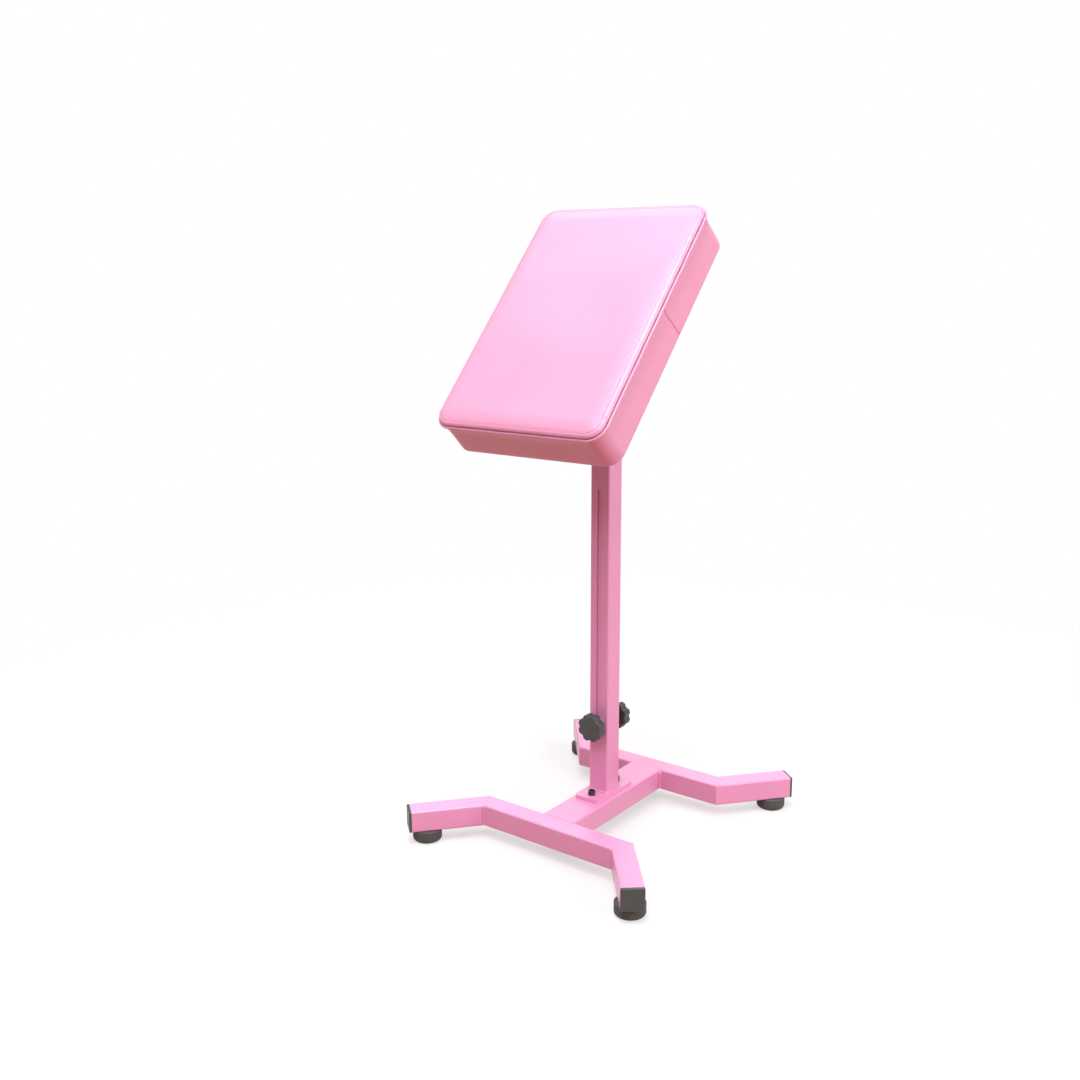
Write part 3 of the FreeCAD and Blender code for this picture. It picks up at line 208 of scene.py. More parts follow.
def floorMaterial():
    material = bpy.data.materials.new("studioFloor")
    material.use_nodes = True
    nodes, links = material.node_tree.nodes, material.node_tree.links
    nodes.clear()
    reach = nodes.new("ShaderNodeVectorMath")
    reach.operation = "LENGTH"
    links.new(nodes.new("ShaderNodeTexCoord").outputs["Object"], reach.inputs[0])
    fade = mapRange(nodes, links, reach.outputs["Value"], surround["fadeStart"], surround["fadeEnd"],
                    surround["clearNear"], 1.0)
    fade.interpolation_type = "SMOOTHSTEP"
    shaded = addDiffuse(nodes, surround["floorWhite"])
    plain = nodes.new("ShaderNodeEmission").outputs[0]
    seen = mixShaders(nodes, links, fade.outputs["Result"], shaded, plain)
    bounce = addDiffuse(nodes, surround["floorBounce"])
    above = mixShaders(nodes, links, seenDirectly(nodes, links), bounce, seen)
    # clear from below, so that the undersides can be looked at
    isBelow = nodes.new("ShaderNodeNewGeometry").outputs["Backfacing"]
    clear = nodes.new("ShaderNodeBsdfTransparent").outputs[0]
    whole = mixShaders(nodes, links, isBelow, above, clear)
    links.new(whole, nodes.new("ShaderNodeOutputMaterial").inputs["Surface"])
    return material


def addFloor():
    bm = bmesh.new()
    bmesh.ops.create_grid(bm, x_segments=1, y_segments=1, size=surround["floorSize"] / 2)
    bmesh.ops.translate(bm, verts=bm.verts, vec=(0, 0, -surround["floorDepth"]))
    mesh = bpy.data.meshes.new("floor")
    bm.to_mesh(mesh)
    bm.free()
    floor = addObject("floor", mesh)
    mesh.materials.append(floorMaterial())


for lampName in lamps:
    addLamp(lampName)
setWorld()
addFloor()
scene.view_settings.view_transform = "Standard"
print("studio lit")


# Finishes. Every pattern is on Object coordinates, in cells for each metre.

class Finish:
    # a Principled material with the few texture nodes that the finishes share

    def __init__(self, name, metallic=0.0):
        self.material = bpy.data.materials.new(name)
        self.material.use_nodes = True
        self.nodes = self.material.node_tree.nodes
        self.links = self.material.node_tree.links
        self.nodes.clear()
        self.shader = self.nodes.new("ShaderNodeBsdfPrincipled")
        output = self.nodes.new("ShaderNodeOutputMaterial")
        self.links.new(self.shader.outputs["BSDF"], output.inputs["Surface"])
        self.where = self.nodes.new("ShaderNodeTexCoord").outputs["Object"]
        self.set("Metallic", metallic)

    def set(self, socket, value):
        self.shader.inputs[socket].default_value = value

    def drive(self, socket, output):
        self.links.new(output, self.shader.inputs[socket])

    def placed(self, matrix):
        mapping = self.nodes.new("ShaderNodeMapping")
        mapping.inputs["Location"].default_value = matrix.to_translation()
        mapping.inputs["Rotation"].default_value = matrix.to_euler()
        self.links.new(self.where, mapping.inputs["Vector"])
        return mapping.outputs["Vector"]

    def stretched(self, scale):
        mapping = self.nodes.new("ShaderNodeMapping")
        mapping.inputs["Scale"].default_value = scale
        self.links.new(self.where, mapping.inputs["Vector"])
        return mapping.outputs["Vector"]

    def texture(self, kind, scale, where=None):
        texture = self.nodes.new(kind)
        texture.inputs["Scale"].default_value = scale
        self.links.new(where or self.where, texture.inputs["Vector"])
        return texture

    def noise(self, scale, detail=2.0, where=None):
        texture = self.texture("ShaderNodeTexNoise", scale, where)
        texture.inputs["Detail"].default_value = detail
        return texture.outputs["Fac"]

    def pebbles(self, scale, feature="SMOOTH_F1"):
        texture = self.texture("ShaderNodeTexVoronoi", scale)
        texture.feature = feature
        return texture.outputs["Distance"]

    def bands(self, scale, across, profile):
        texture = self.texture("ShaderNodeTexWave", scale)
        texture.bands_direction = across
        texture.wave_profile = profile
        return texture.outputs["Fac"]

    def spread(self, pattern, low, high, start=0.3, end=0.7):
        return mapRange(self.nodes, self.links, pattern, start, end, low, high).outputs["Result"]

    def blend(self, pattern, low, high, start=0.3, end=0.7):
        ramp = self.nodes.new("ShaderNodeValToRGB")
        for element, position, colour in zip(ramp.color_ramp.elements, (start, end), (low, high)):
            element.position = position
            element.color = (*colour, 1.0)
        self.links.new(pattern, ramp.inputs["Fac"])
        return ramp.outputs["Color"]

    def times(self, first, second, share=1.0):
        product = self.nodes.new("ShaderNodeMix")
        product.data_type = "RGBA"
        product.blend_type = "MULTIPLY"
        product.inputs["Factor"].default_value = share
        self.links.new(first, product.inputs["A"])
        self.links.new(second, product.inputs["B"])
        return product.outputs["Result"]

    def calculate(self, operation, *values):
        # each value is another node's output or a plain number
        step = self.nodes.new("ShaderNodeMath")
        step.operation = operation
        for socket, value in zip(step.inputs, values):
            if isinstance(value, float):
                socket.default_value = value
            else:
                self.links.new(value, socket)
        return step.outputs[0]

    def mottle(self, low, high, scale, detail=2.0):
        self.drive("Base Color", self.blend(self.noise(scale, detail), low, high))

    def varyGloss(self, low, high, scale, detail=2.0):
        self.drive("Roughness", self.spread(self.noise(scale, detail), low, high))

    def relief(self, pattern, height, strength):
        # each call lays another relief over the last
        bump = self.nodes.new("ShaderNodeBump")
        bump.inputs["Distance"].default_value = height
        bump.inputs["Strength"].default_value = strength
        self.links.new(pattern, bump.inputs["Height"])
        last = self.shader.inputs["Normal"]
        if last.is_linked:
            self.links.new(last.links[0].from_socket, bump.inputs["Normal"])
        self.links.new(bump.outputs["Normal"], last)

    def grain(self, scale, height, strength, detail=2.0):
        self.relief(self.noise(scale, detail), height, strength)


def powderCoat():
    finish = Finish("pinkPowderCoat")
    finish.set("Coat Weight", 0.35)
    finish.set("Coat Roughness", 0.18)
    finish.mottle(low=(0.885, 0.365, 0.64), high=(0.915, 0.4, 0.68), scale=9.0, detail=3.0)
    finish.varyGloss(low=0.29, high=0.4, scale=60.0, detail=4.0)
    finish.grain(scale=420.0, height=0.00018, strength=0.35, detail=3.0)
    finish.grain(scale=1500.0, height=0.00004, strength=0.3, detail=1.0)
    return finish.material


def blackPlastic():
    finish = Finish("blackPlastic")
    finish.mottle(low=(0.056, 0.061, 0.057), high=(0.069, 0.076, 0.071), scale=40.0)
    finish.varyGloss(low=0.36, high=0.5, scale=90.0, detail=3.0)
    finish.relief(finish.pebbles(scale=1800.0), height=0.00006, strength=0.5)
    return finish.material


def guidePlastic():
    finish = Finish("guidePlastic")
    finish.set("Base Color", (0.06, 0.06, 0.058, 1.0))
    finish.varyGloss(low=0.42, high=0.56, scale=70.0, detail=3.0)
    finish.grain(scale=900.0, height=0.00003, strength=0.4)
    return finish.material


def blackRubber():
    finish = Finish("blackRubber")
    finish.mottle(low=(0.068, 0.074, 0.069), high=(0.094, 0.102, 0.095), scale=55.0, detail=4.0)
    finish.varyGloss(low=0.6, high=0.8, scale=120.0, detail=3.0)
    finish.grain(scale=1300.0, height=0.00008, strength=0.5)
    return finish.material


def zincSteel():
    finish = Finish("zincSteel", metallic=1.0)
    finish.mottle(low=(0.62, 0.64, 0.67), high=(0.8, 0.8, 0.79), scale=260.0, detail=3.0)
    finish.varyGloss(low=0.22, high=0.42, scale=500.0)
    finish.grain(scale=1600.0, height=0.00002, strength=0.4)
    return finish.material


def blackOxide():
    finish = Finish("blackOxideSteel", metallic=0.9)
    finish.mottle(low=(0.05, 0.05, 0.058), high=(0.1, 0.1, 0.105), scale=500.0, detail=3.0)
    finish.varyGloss(low=0.3, high=0.48, scale=400.0)
    finish.grain(scale=1800.0, height=0.00002, strength=0.4)
    return finish.material


def turnedBrass():
    finish = Finish("turnedBrass", metallic=1.0)
    finish.set("Base Color", (0.78, 0.56, 0.26, 1.0))
    finish.varyGloss(low=0.2, high=0.4, scale=700.0, detail=3.0)
    finish.grain(scale=2200.0, height=0.00002, strength=0.5)
    return finish.material


def plywood():
    # plies across the board's thickness, grain along its length
    finish = Finish("plywood")
    finish.set("Roughness", 0.72)
    finish.where = finish.placed(cushionPlace.inverted())
    plies = finish.bands(scale=118.0, across="Z", profile="TRI")
    grain = finish.noise(scale=160.0, detail=5.0, where=finish.stretched((1.0, 0.06, 1.0)))
    layers = finish.blend(plies, low=(0.5, 0.33, 0.18), high=(0.68, 0.49, 0.3), start=0.2, end=0.8)
    streaks = finish.blend(grain, low=(0.62, 0.55, 0.5), high=(1.0, 1.0, 1.0))
    finish.drive("Base Color", finish.times(layers, streaks, share=0.5))
    finish.relief(grain, height=0.0001, strength=0.4)
    return finish.material


# painted shade along the fold over the piping, a dark band put into the leather's colour in place of the groove's
# shadow
foldPaintedShade = {
    "height": 0.0014,  # of the darkest line over the seam
    "tint": (0.42, 0.32, 0.46),
    "darkWithin": 0.0007,
    "clearFrom": 0.0021,
    "waviness": 0.0009,  # how much nearer the clear leather comes in places
    "waves": 55.0,
}


def paintFoldShade(finish, colour):
    # painted shade: darkens the leather's colour in its fold over the piping, where the groove's shadow falls
    place = finish.nodes.new("ShaderNodeSeparateXYZ")
    finish.links.new(finish.placed(cushionPlace.inverted()), place.inputs[0])
    above = finish.calculate("SUBTRACT", place.outputs["Z"], seamHeight + foldPaintedShade["height"])
    wavy = finish.spread(finish.noise(foldPaintedShade["waves"]), 0.0, foldPaintedShade["waviness"])
    away = finish.calculate("ADD", finish.calculate("ABSOLUTE", above), wavy)
    shade = finish.blend(away, low=foldPaintedShade["tint"], high=(1.0, 1.0, 1.0),
                         start=foldPaintedShade["darkWithin"], end=foldPaintedShade["clearFrom"])
    return finish.times(colour, shade)


def leatherette(name, low, high, folded=False):
    # artificial leather: close rounded pebbles with creases between them, over a soft unevenness
    finish = Finish(name)
    finish.set("Specular IOR Level", 0.3)
    finish.set("Coat Weight", 0.3)
    finish.set("Coat Roughness", 0.24)
    finish.set("Sheen Weight", 0.12)
    finish.set("Sheen Roughness", 0.45)
    colour = finish.blend(finish.noise(scale=14.0, detail=4.0), low, high, start=0.25, end=0.75)
    # painted shade in the fold over the piping
    if folded:
        colour = paintFoldShade(finish, colour)
    finish.drive("Base Color", colour)
    creases = finish.pebbles(scale=1050.0, feature="DISTANCE_TO_EDGE")
    pebbles = finish.spread(creases, low=0.0, high=1.0, start=0.0, end=0.16)
    finish.drive("Roughness", finish.spread(creases, low=0.52, high=0.4, start=0.0, end=0.14))
    finish.grain(scale=28.0, height=0.0006, strength=0.25)
    finish.grain(scale=480.0, height=0.00012, strength=0.4)
    finish.relief(pebbles, height=0.00007, strength=0.5)
    return finish.material


def blackFelt():
    finish = Finish("blackFelt")
    finish.set("Roughness", 0.95)
    finish.set("Sheen Weight", 0.08)
    finish.set("Sheen Roughness", 0.6)
    fibres = finish.noise(scale=900.0, detail=5.0, where=finish.stretched((1.0, 0.35, 0.35)))
    finish.drive("Base Color", finish.blend(fibres, low=(0.008, 0.009, 0.01), high=(0.03, 0.032, 0.034)))
    finish.relief(fibres, height=0.0003, strength=0.8)
    return finish.material


def sewingThread():
    finish = Finish("pinkThread")
    finish.set("Base Color", (0.60, 0.29, 0.47, 1.0))
    finish.set("Roughness", 0.6)
    finish.set("Sheen Weight", 0.3)
    finish.grain(scale=2600.0, height=0.0001, strength=0.6)
    return finish.material


# The cushion's own frame has the pivot at its origin, +Y up the cushion's length and +Z out of its
# top. Its pieces are modelled there and then put in place.

cushionTilt = 48.0  # degrees
pivot = next(Vector(joint["pos_m"]) for joint in frame["joints"] if joint["name"] == "cushion_tilt")
cushionPlace = Matrix.Translation(pivot) @ Matrix.Rotation(math.radians(cushionTilt), 4, "X")


def cushionBox(node):
    back = cushionPlace.inverted()
    columns = list(zip(*(back @ vert.co for vert in frame["nodes"][node].data.vertices)))
    return Vector([min(column) for column in columns]), Vector([max(column) for column in columns])


weltLow, weltHigh = cushionBox("pad_welt")
seamHeight = (weltLow.z + weltHigh.z) / 2

materials = {
    "pink_powder_coat": powderCoat(),
    "black_plastic": blackPlastic(),
    "guide_plastic": guidePlastic(),
    "black_rubber": blackRubber(),
    "zinc_steel": zincSteel(),
    "black_oxide_steel": blackOxide(),
    "brass": turnedBrass(),
    "plywood": plywood(),
    # the cover's leather gets painted shade in its fold over the piping
    "pink_leatherette": leatherette("pinkLeatherette", (0.86, 0.375, 0.57), (0.885, 0.4, 0.60),
                                    folded=True),
    "pink_piping": leatherette("pinkPiping", (0.87, 0.385, 0.585), (0.895, 0.415, 0.615)),
    "black_felt": blackFelt(),
}
threadMaterial = sewingThread()

for subpart in frame["record"]["subparts"]:
    material = materials.get(subpart["material_slot"])
    if material:
        mesh = frame["nodes"][subpart["node"]].data
        mesh.materials.clear()
        mesh.materials.append(material)
print("finishes made")


def faceOutward(bm):
    bmesh.ops.recalc_face_normals(bm, faces=bm.faces)


def addPiece(name, bm, body, slot, material=None, smooth=True, place=None):
    if place is not None:
        bmesh.ops.transform(bm, matrix=place, verts=bm.verts)
    mesh = bpy.data.meshes.new(name)
    bm.to_mesh(mesh)
    bm.free()
    for face in mesh.polygons:
        face.use_smooth = smooth
    piece = addObject(name, mesh)
    mesh.materials.append(material or materials[slot])
    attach(piece, body)
    return piece


# Cushion cover: a crowned top panel that rolls over a padded shoulder into the seam, and a side
# band that is drawn in, folded round the lower edge and turned under.

coverLow, coverHigh = cushionBox("pad_cover")

cover = {
    "halfWidth": (coverHigh.x - coverLow.x) / 2,
    "halfLength": (coverHigh.y - coverLow.y) / 2,
    "underside": coverLow.z,
    "seam": seamHeight,
    "corner": 0.021,
    "tuck": 0.0014,  # how far both panels turn in behind the piping
    "lip": 0.0011,  # from the seam to each panel's first row
    "curl": 0.0016,  # radius of the top panel where it turns into the seam
    "shoulder": 0.0037,  # radius of its padded shoulder
    "shoulderTurn": math.radians(67.0),
    "crownReach": 0.0115,  # how fast the crown flattens past the shoulder
    "crownRise": 0.0004,  # further rise to the middle
    "columns": 72,
    "rows": 96,
    "edgeStep": 0.0008,  # spacing of the rows beside the seam
    "unevenness": 0.0022,  # of the foam under the middle of the panel
    "unevenLength": 0.1,
    "unevenPlace": Vector((139.86, 41.58, 0.0)),  # picks a pattern with a shallow dip on the lower right
    "unevenFade": 0.05,
}

band = {
    "curl": 0.0012,  # radius where it turns into the seam
    "draw": 0.0022,  # how far its middle is drawn in
    "drawAtCorners": 0.45,  # share of that
    "fold": 0.003,  # radius round the lower edge
    "turnUnder": 0.0215,
    "rawEdge": (0.0004, 0.0009),  # further in and up at the end of the turned edge
    "curlRows": 3,
    "rows": 11,
    "foldRows": 4,
    "underRows": 7,
    "pleat": 0.0007,  # height of the pleats in the turned edge round the corners
    "pleatsPerTurn": 16,
    "pleatsFrom": 0.0001,  # what still counts as the underside, and as its straight sides
}

sideSeam = {
    "place": 0.020,  # of the band's upright seams above the cushion's middle
    "field": 0.02,  # of the band that is cut for them, to each side
    "reach": 0.0034,  # of the groove, to each side
    "rows": ((-1.0, 0.0), (-0.5, 0.03), (-0.24, 0.2), (-0.09, 0.62), (0.0, 1.0),
             (0.09, 0.5), (0.24, 0.05), (0.5, -0.12), (1.0, 0.0)),  # place, share of the depth
    "depth": 0.0026,
    "depthAtTop": 0.6,  # share of the depth, and what it gains to the lower edge
    "depthGain": 0.5,
    "top": 0.0015,  # of the groove below the seam
    "bandDepth": 0.008,  # what counts as the band, in from the cushion's side
}

puckers = {
    "depth": 0.00032,
    "length": 0.019,
    "stretches": (0.6, 1.5),  # range of their lengths
    "waves": 4,
    "reach": 0.010,  # from the side
    "start": 0.002,  # over the seam
}

stitching = {
    "rows": (0.0066, 0.0102),  # from the seam, along the leather
    "pitch": 0.0042,
    "length": 0.0031,
    "radius": 0.00048,
    "proud": 0.0001,  # of the stitch's middle over the leather
    "sway": 0.06,  # radians, to each side
    "dentDepth": 0.0003,
    "dentWidth": 0.0009,
    "slopeStep": 0.0002,  # along the leather, to find its slope
    "castFrom": 0.006,  # over the leather, to find its surface
}

# where the top panel's crown starts, along the leather
flatStart = cover["curl"] * quarterTurn + cover["shoulder"] * cover["shoulderTurn"]


def smoothStep(share):
    share = min(1.0, max(0.0, share))
    return share * share * (3 - 2 * share)


def panelProfile(distance):
    # outward offset from the side and height over the seam, at a distance along the leather
    curl, shoulder, turn = cover["curl"], cover["shoulder"], cover["shoulderTurn"]
    proud = curl - cover["tuck"]  # the roll stands this far past the side
    curlLength = curl * quarterTurn
    if distance < curlLength:
        angle = distance / curl - quarterTurn
        return proud - curl + curl * math.cos(angle), cover["lip"] + curl + curl * math.sin(angle)
    angle = min(turn, (distance - curlLength) / shoulder)
    outward = proud - shoulder + shoulder * math.cos(angle)
    height = cover["lip"] + curl + shoulder * math.sin(angle)
    flat = max(0.0, distance - flatStart)
    reach = cover["crownReach"]
    return outward - flat, height + reach / math.tan(turn) * (1 - math.exp(-flat / reach))


def rowPlace(share, count, half):
    # rows stand close together beside the seam and further apart towards the middle
    step = cover["edgeStep"]
    fromEdge = (1 - abs(share)) * count / 2
    growth = (half - step * count / 2) / (count / 2) ** 2
    return math.copysign(half - step * fromEdge - growth * fromEdge ** 2, share)


def splitReach(point, halfWidth=cover["halfWidth"], halfLength=cover["halfLength"],
               corner=cover["corner"]):
    # nearest point of the rectangle between the corner centres, and the way from there to the point
    centre = Vector((max(corner - halfWidth, min(halfWidth - corner, point.x)),
                     max(corner - halfLength, min(halfLength - corner, point.y)), 0))
    return centre, Vector((point.x, point.y, 0)) - centre


def roundCorner(point, halfWidth, halfLength, corner):
    # turns the square corner of the grid into a round one
    centre, reach = splitReach(point, halfWidth, halfLength, corner)
    across, along = abs(reach.x) / corner, abs(reach.y) / corner
    if across > 0 and along > 0:
        reach = Vector((reach.x * math.sqrt(1 - along ** 2 / 2),
                        reach.y * math.sqrt(1 - across ** 2 / 2), 0))
    return centre, reach


def shapeTopPanel(bm):
    fullness = flatStart + panelProfile(flatStart)[0]  # of the leather past the side
    width, length = cover["halfWidth"] + fullness, cover["halfLength"] + fullness
    corner = cover["corner"] + fullness
    for vert in bm.verts:
        flat = Vector((rowPlace(vert.co.x, cover["columns"], width),
                       rowPlace(vert.co.y, cover["rows"], length), 0))
        centre, reach = roundCorner(flat, width, length, corner)
        distance = corner - reach.length
        outward, height = panelProfile(distance)
        if distance < flatStart:
            reach = reach.normalized() * (cover["corner"] + outward)
        place = centre + reach
        crown = (1 - (place.x / width) ** 2) * (1 - (place.y / length) ** 2)
        vert.co = place + zAxis * (cover["seam"] + height + cover["crownRise"] * crown)


def bandRows():
    # outward offset, height over the underside and share of the draw of each row, from the seam down
    curl, fold, turnUnder = band["curl"], band["fold"], band["turnUnder"]
    top = cover["seam"] - cover["underside"] - cover["lip"] - curl
    edge = curl - cover["tuck"]
    rows = []
    for step in range(band["curlRows"] + 1):
        angle = quarterTurn * (1 - step / band["curlRows"])
        rows.append((curl * math.cos(angle) - cover["tuck"], top + curl * math.sin(angle), 0))
    for step in range(1, band["rows"]):
        share = step / band["rows"]
        draw = 27 / 4 * share * (1 - share) ** 2  # 1 at a third of the way down
        rows.append((edge * (1 - share), top + (fold - top) * share, draw))
    for step in range(band["foldRows"] + 1):
        angle = quarterTurn * step / band["foldRows"]
        rows.append((-fold + fold * math.cos(angle), fold - fold * math.sin(angle), 0))
    for step in range(1, band["underRows"] + 1):
        rows.append((-fold - (turnUnder - fold) * step / band["underRows"], 0, 0))
    inward, rise = band["rawEdge"]
    rows.append((-turnUnder - inward, rise, 0))
    return rows


def extrudeBand(bm):
    edges = [edge for edge in bm.edges if edge.is_boundary]
    for outward, height, draw in bandRows():
        made = bmesh.ops.extrude_edge_only(bm, edges=edges)["geom"]
        edges = [item for item in made if isinstance(item, bmesh.types.BMEdge)
                 and all(vert in made for vert in item.verts) and item.is_boundary]
        for vert in (item for item in made if isinstance(item, bmesh.types.BMVert)):
            centre, reach = splitReach(vert.co)
            along = centre.x / (cover["halfWidth"] - cover["corner"])
            if abs(reach.x) > abs(reach.y):
                along = centre.y / (cover["halfLength"] - cover["corner"])
            least = band["drawAtCorners"]
            pull = band["draw"] * draw * (least + (1 - least) * (1 - along ** 2))
            place = centre + reach.normalized() * (cover["corner"] + outward - pull)
            vert.co = place + zAxis * (cover["underside"] + height)


def nearSideSeam(place):
    return (place.z < cover["seam"] and abs(place.y - sideSeam["place"]) < sideSeam["field"]
            and abs(place.x) > cover["halfWidth"] / 2)


def cutSideSeams(bm):
    # rows of edges beside the band's upright seams, for their groove
    for place, share in sideSeam["rows"]:
        faces = [face for face in bm.faces if nearSideSeam(face.calc_center_median())]
        geometry = dict.fromkeys(item for face in faces for item in (face, *face.edges, *face.verts))
        row = (0, sideSeam["place"] + place * sideSeam["reach"], 0)
        bmesh.ops.bisect_plane(bm, geom=list(geometry), dist=tiny, plane_no=(0, 1, 0), plane_co=row)


def sinkSideSeams(bm):
    top = cover["seam"] - sideSeam["top"]
    bottom = cover["underside"] + band["fold"] / 2
    for vert in bm.verts:
        away = (vert.co.y - sideSeam["place"]) / sideSeam["reach"]
        isBand = abs(vert.co.x) >= cover["halfWidth"] - sideSeam["bandDepth"]
        if abs(away) > 1 or not isBand or not bottom < vert.co.z < top:
            continue
        down = (top - vert.co.z) / (top - bottom)
        place, share = min(sideSeam["rows"], key=lambda row: abs(row[0] - away))
        depth = sideSeam["depth"] * (sideSeam["depthAtTop"] + sideSeam["depthGain"] * down)
        vert.co.x -= math.copysign(depth * share, vert.co.x)


def outlineLength(place):
    # way round the cushion's outline, from the middle of its right side
    centre, reach = splitReach(place)
    way = cover["corner"] * (math.atan2(reach.y, reach.x) % fullTurn)
    way += centre.y if reach.x > 0 else -centre.y
    way -= centre.x if reach.y > 0 else -centre.x
    return way


def puckerPanel(bm):
    # shallow gathers that run out from the seam, the foam's unevenness and the stitches' dents
    dents = [panelProfile(distance)[0] for distance in stitching["rows"]]
    random.seed(7)
    waves = [(random.uniform(0, phaseSpan), puckers["length"] * random.uniform(*puckers["stretches"]))
             for each in range(puckers["waves"])]
    bm.normal_update()
    for vert in bm.verts:
        if vert.co.z < cover["seam"] + puckers["start"]:
            continue
        outward = splitReach(vert.co)[1].length
        inward = cover["corner"] - outward
        if outward < tiny:
            inward = min(cover["halfWidth"] - abs(vert.co.x), cover["halfLength"] - abs(vert.co.y))
        way = outlineLength(vert.co)
        gather = sum(math.sin(fullTurn * way / length + phase) for phase, length in waves) / len(waves)
        gather *= puckers["depth"] * math.exp(-max(inward, 0) / puckers["reach"])
        dent = sum(math.exp(-((outward - cover["corner"] - place) / stitching["dentWidth"]) ** 2)
                   for place in dents)
        swell = noise.noise(vert.co / cover["unevenLength"] + cover["unevenPlace"])
        vert.co.z += cover["unevenness"] * smoothStep(inward / cover["unevenFade"]) * swell
        vert.co += vert.normal * (gather - stitching["dentDepth"] * dent)


def gatherCorners(bm):
    # pleats of the turned edge round the corners of the underside
    for vert in bm.verts:
        centre, reach = splitReach(vert.co)
        across, along = abs(reach.x), abs(reach.y)
        start = band["pleatsFrom"]
        if vert.co.z > cover["underside"] + start or min(across, along) <= start:
            continue
        inward = min(1.0, max(0.0, (cover["corner"] - reach.length) / band["turnUnder"]))
        wave = math.sin(math.atan2(along, across) * band["pleatsPerTurn"])
        vert.co.z += band["pleat"] * inward * (1 + wave) / 2


clothPlan = {
    "frames": 20,
    "pressure": 3.5,
    "cap": 0.0016,
    "fade": 0.045,  # from the side to where the swelling is full
    "stiffness": 30.0,
    "bending": 2.0,
    "slack": -0.001,
    "mass": 0.3,
    "quality": 5,
}


def inflateCover(piece, free):
    # swells the top panel under a little pressure, held at the seam, and caps how far it moves
    rest = [vert.co.copy() for vert in piece.data.vertices]
    pinned = piece.vertex_groups.new(name="held")
    for index, share in enumerate(free):
        pinned.add([index], 1 - share, "REPLACE")
    cloth = piece.modifiers.new("swell", "CLOTH")
    settings = cloth.settings
    settings.quality = clothPlan["quality"]
    settings.mass = clothPlan["mass"]
    settings.tension_stiffness = settings.compression_stiffness = clothPlan["stiffness"]
    settings.bending_stiffness = clothPlan["bending"]
    settings.shrink_min = clothPlan["slack"]
    settings.vertex_group_mass = pinned.name
    settings.use_pressure = True
    settings.uniform_pressure_force = clothPlan["pressure"]
    settings.effector_weights.gravity = 0.0
    cloth.collision_settings.use_self_collision = False
    cloth.collision_settings.use_collision = False
    cloth.point_cache.frame_start = 1
    cloth.point_cache.frame_end = clothPlan["frames"]
    for number in range(1, clothPlan["frames"] + 1):
        scene.frame_set(number)
    swollen = piece.evaluated_get(bpy.context.evaluated_depsgraph_get()).data
    moved = [vert.co.copy() for vert in swollen.vertices]
    piece.modifiers.remove(cloth)
    scene.frame_set(1)
    for vert, share, start, end in zip(piece.data.vertices, free, rest, moved):
        step = end - start
        if step.length > clothPlan["cap"]:
            step *= clothPlan["cap"] / step.length
        vert.co = start + step * smoothStep(share)
    piece.vertex_groups.clear()


def makeCover():
    bm = bmesh.new()
    bmesh.ops.create_grid(bm, x_segments=cover["columns"], y_segments=cover["rows"], size=1.0)
    shapeTopPanel(bm)
    extrudeBand(bm)
    cutSideSeams(bm)
    faceOutward(bm)
    piece = addPiece("cushion_cover", bm, "cushion", "pink_leatherette")
    free = []
    for vert in piece.data.vertices:
        inward = cover["corner"] - splitReach(vert.co)[1].length
        onPanel = vert.co.z > cover["seam"] + cover["curl"]
        free.append(min(1.0, max(0.0, inward / clothPlan["fade"])) if onPanel else 0.0)
    inflateCover(piece, free)
    print("cover swollen")
    bm = bmesh.new()
    bm.from_mesh(piece.data)
    puckerPanel(bm)
    gatherCorners(bm)
    sinkSideSeams(bm)
    bmesh.ops.transform(bm, matrix=cushionPlace, verts=bm.verts)
    bm.to_mesh(piece.data)
    bm.free()
    smooth = piece.modifiers.new("smooth", "SUBSURF")
    smooth.levels = smooth.render_levels = 1
    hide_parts("pad_cover", "pad_foam")
    return piece


coverPiece = makeCover()
print("cushion cover made")


# Piping: one closed bead of covered cord round the seam.

piping = {
    "radius": (weltHigh.z - weltLow.z) / 2,
    "outset": weltHigh.x - cover["halfWidth"] - (weltHigh.z - weltLow.z) / 2,
    "sides": 12,
    "step": 0.004,
    "closer": 1.6,  # steps round the corners for one along the sides
    "wobble": 0.00018,
    "upWaves": (0.011, 0.0047),  # metres for each radian
    "outWave": 0.0075,
    "mergeWithin": 0.00001,
}


def sweepRound(bm, geometry):
    # carries a section once round the cushion's outline, side by side and corner by corner
    coreX = cover["halfWidth"] - cover["corner"]
    coreY = cover["halfLength"] - cover["corner"]
    arc = quarterTurn * (cover["corner"] + piping["outset"])
    corners = ((1, 1, (0, 1, 0), 2 * coreY), (-1, 1, (-1, 0, 0), 2 * coreX),
               (-1, -1, (0, -1, 0), 2 * coreY), (1, -1, (1, 0, 0), 2 * coreX))
    for sideX, sideY, heading, run in corners:
        steps = round(run / piping["step"])
        made = bmesh.ops.spin(bm, geom=geometry, cent=(0, 0, 0), axis=(0, 0, 1), angle=0.0,
                              dvec=Vector(heading) * run / steps, steps=steps)
        made = bmesh.ops.spin(bm, geom=made["geom_last"], cent=(sideX * coreX, sideY * coreY, 0),
                              axis=(0, 0, 1), angle=quarterTurn,
                              steps=round(arc / piping["step"] * piping["closer"]))
        geometry = made["geom_last"]
    bmesh.ops.remove_doubles(bm, verts=bm.verts, dist=piping["mergeWithin"])


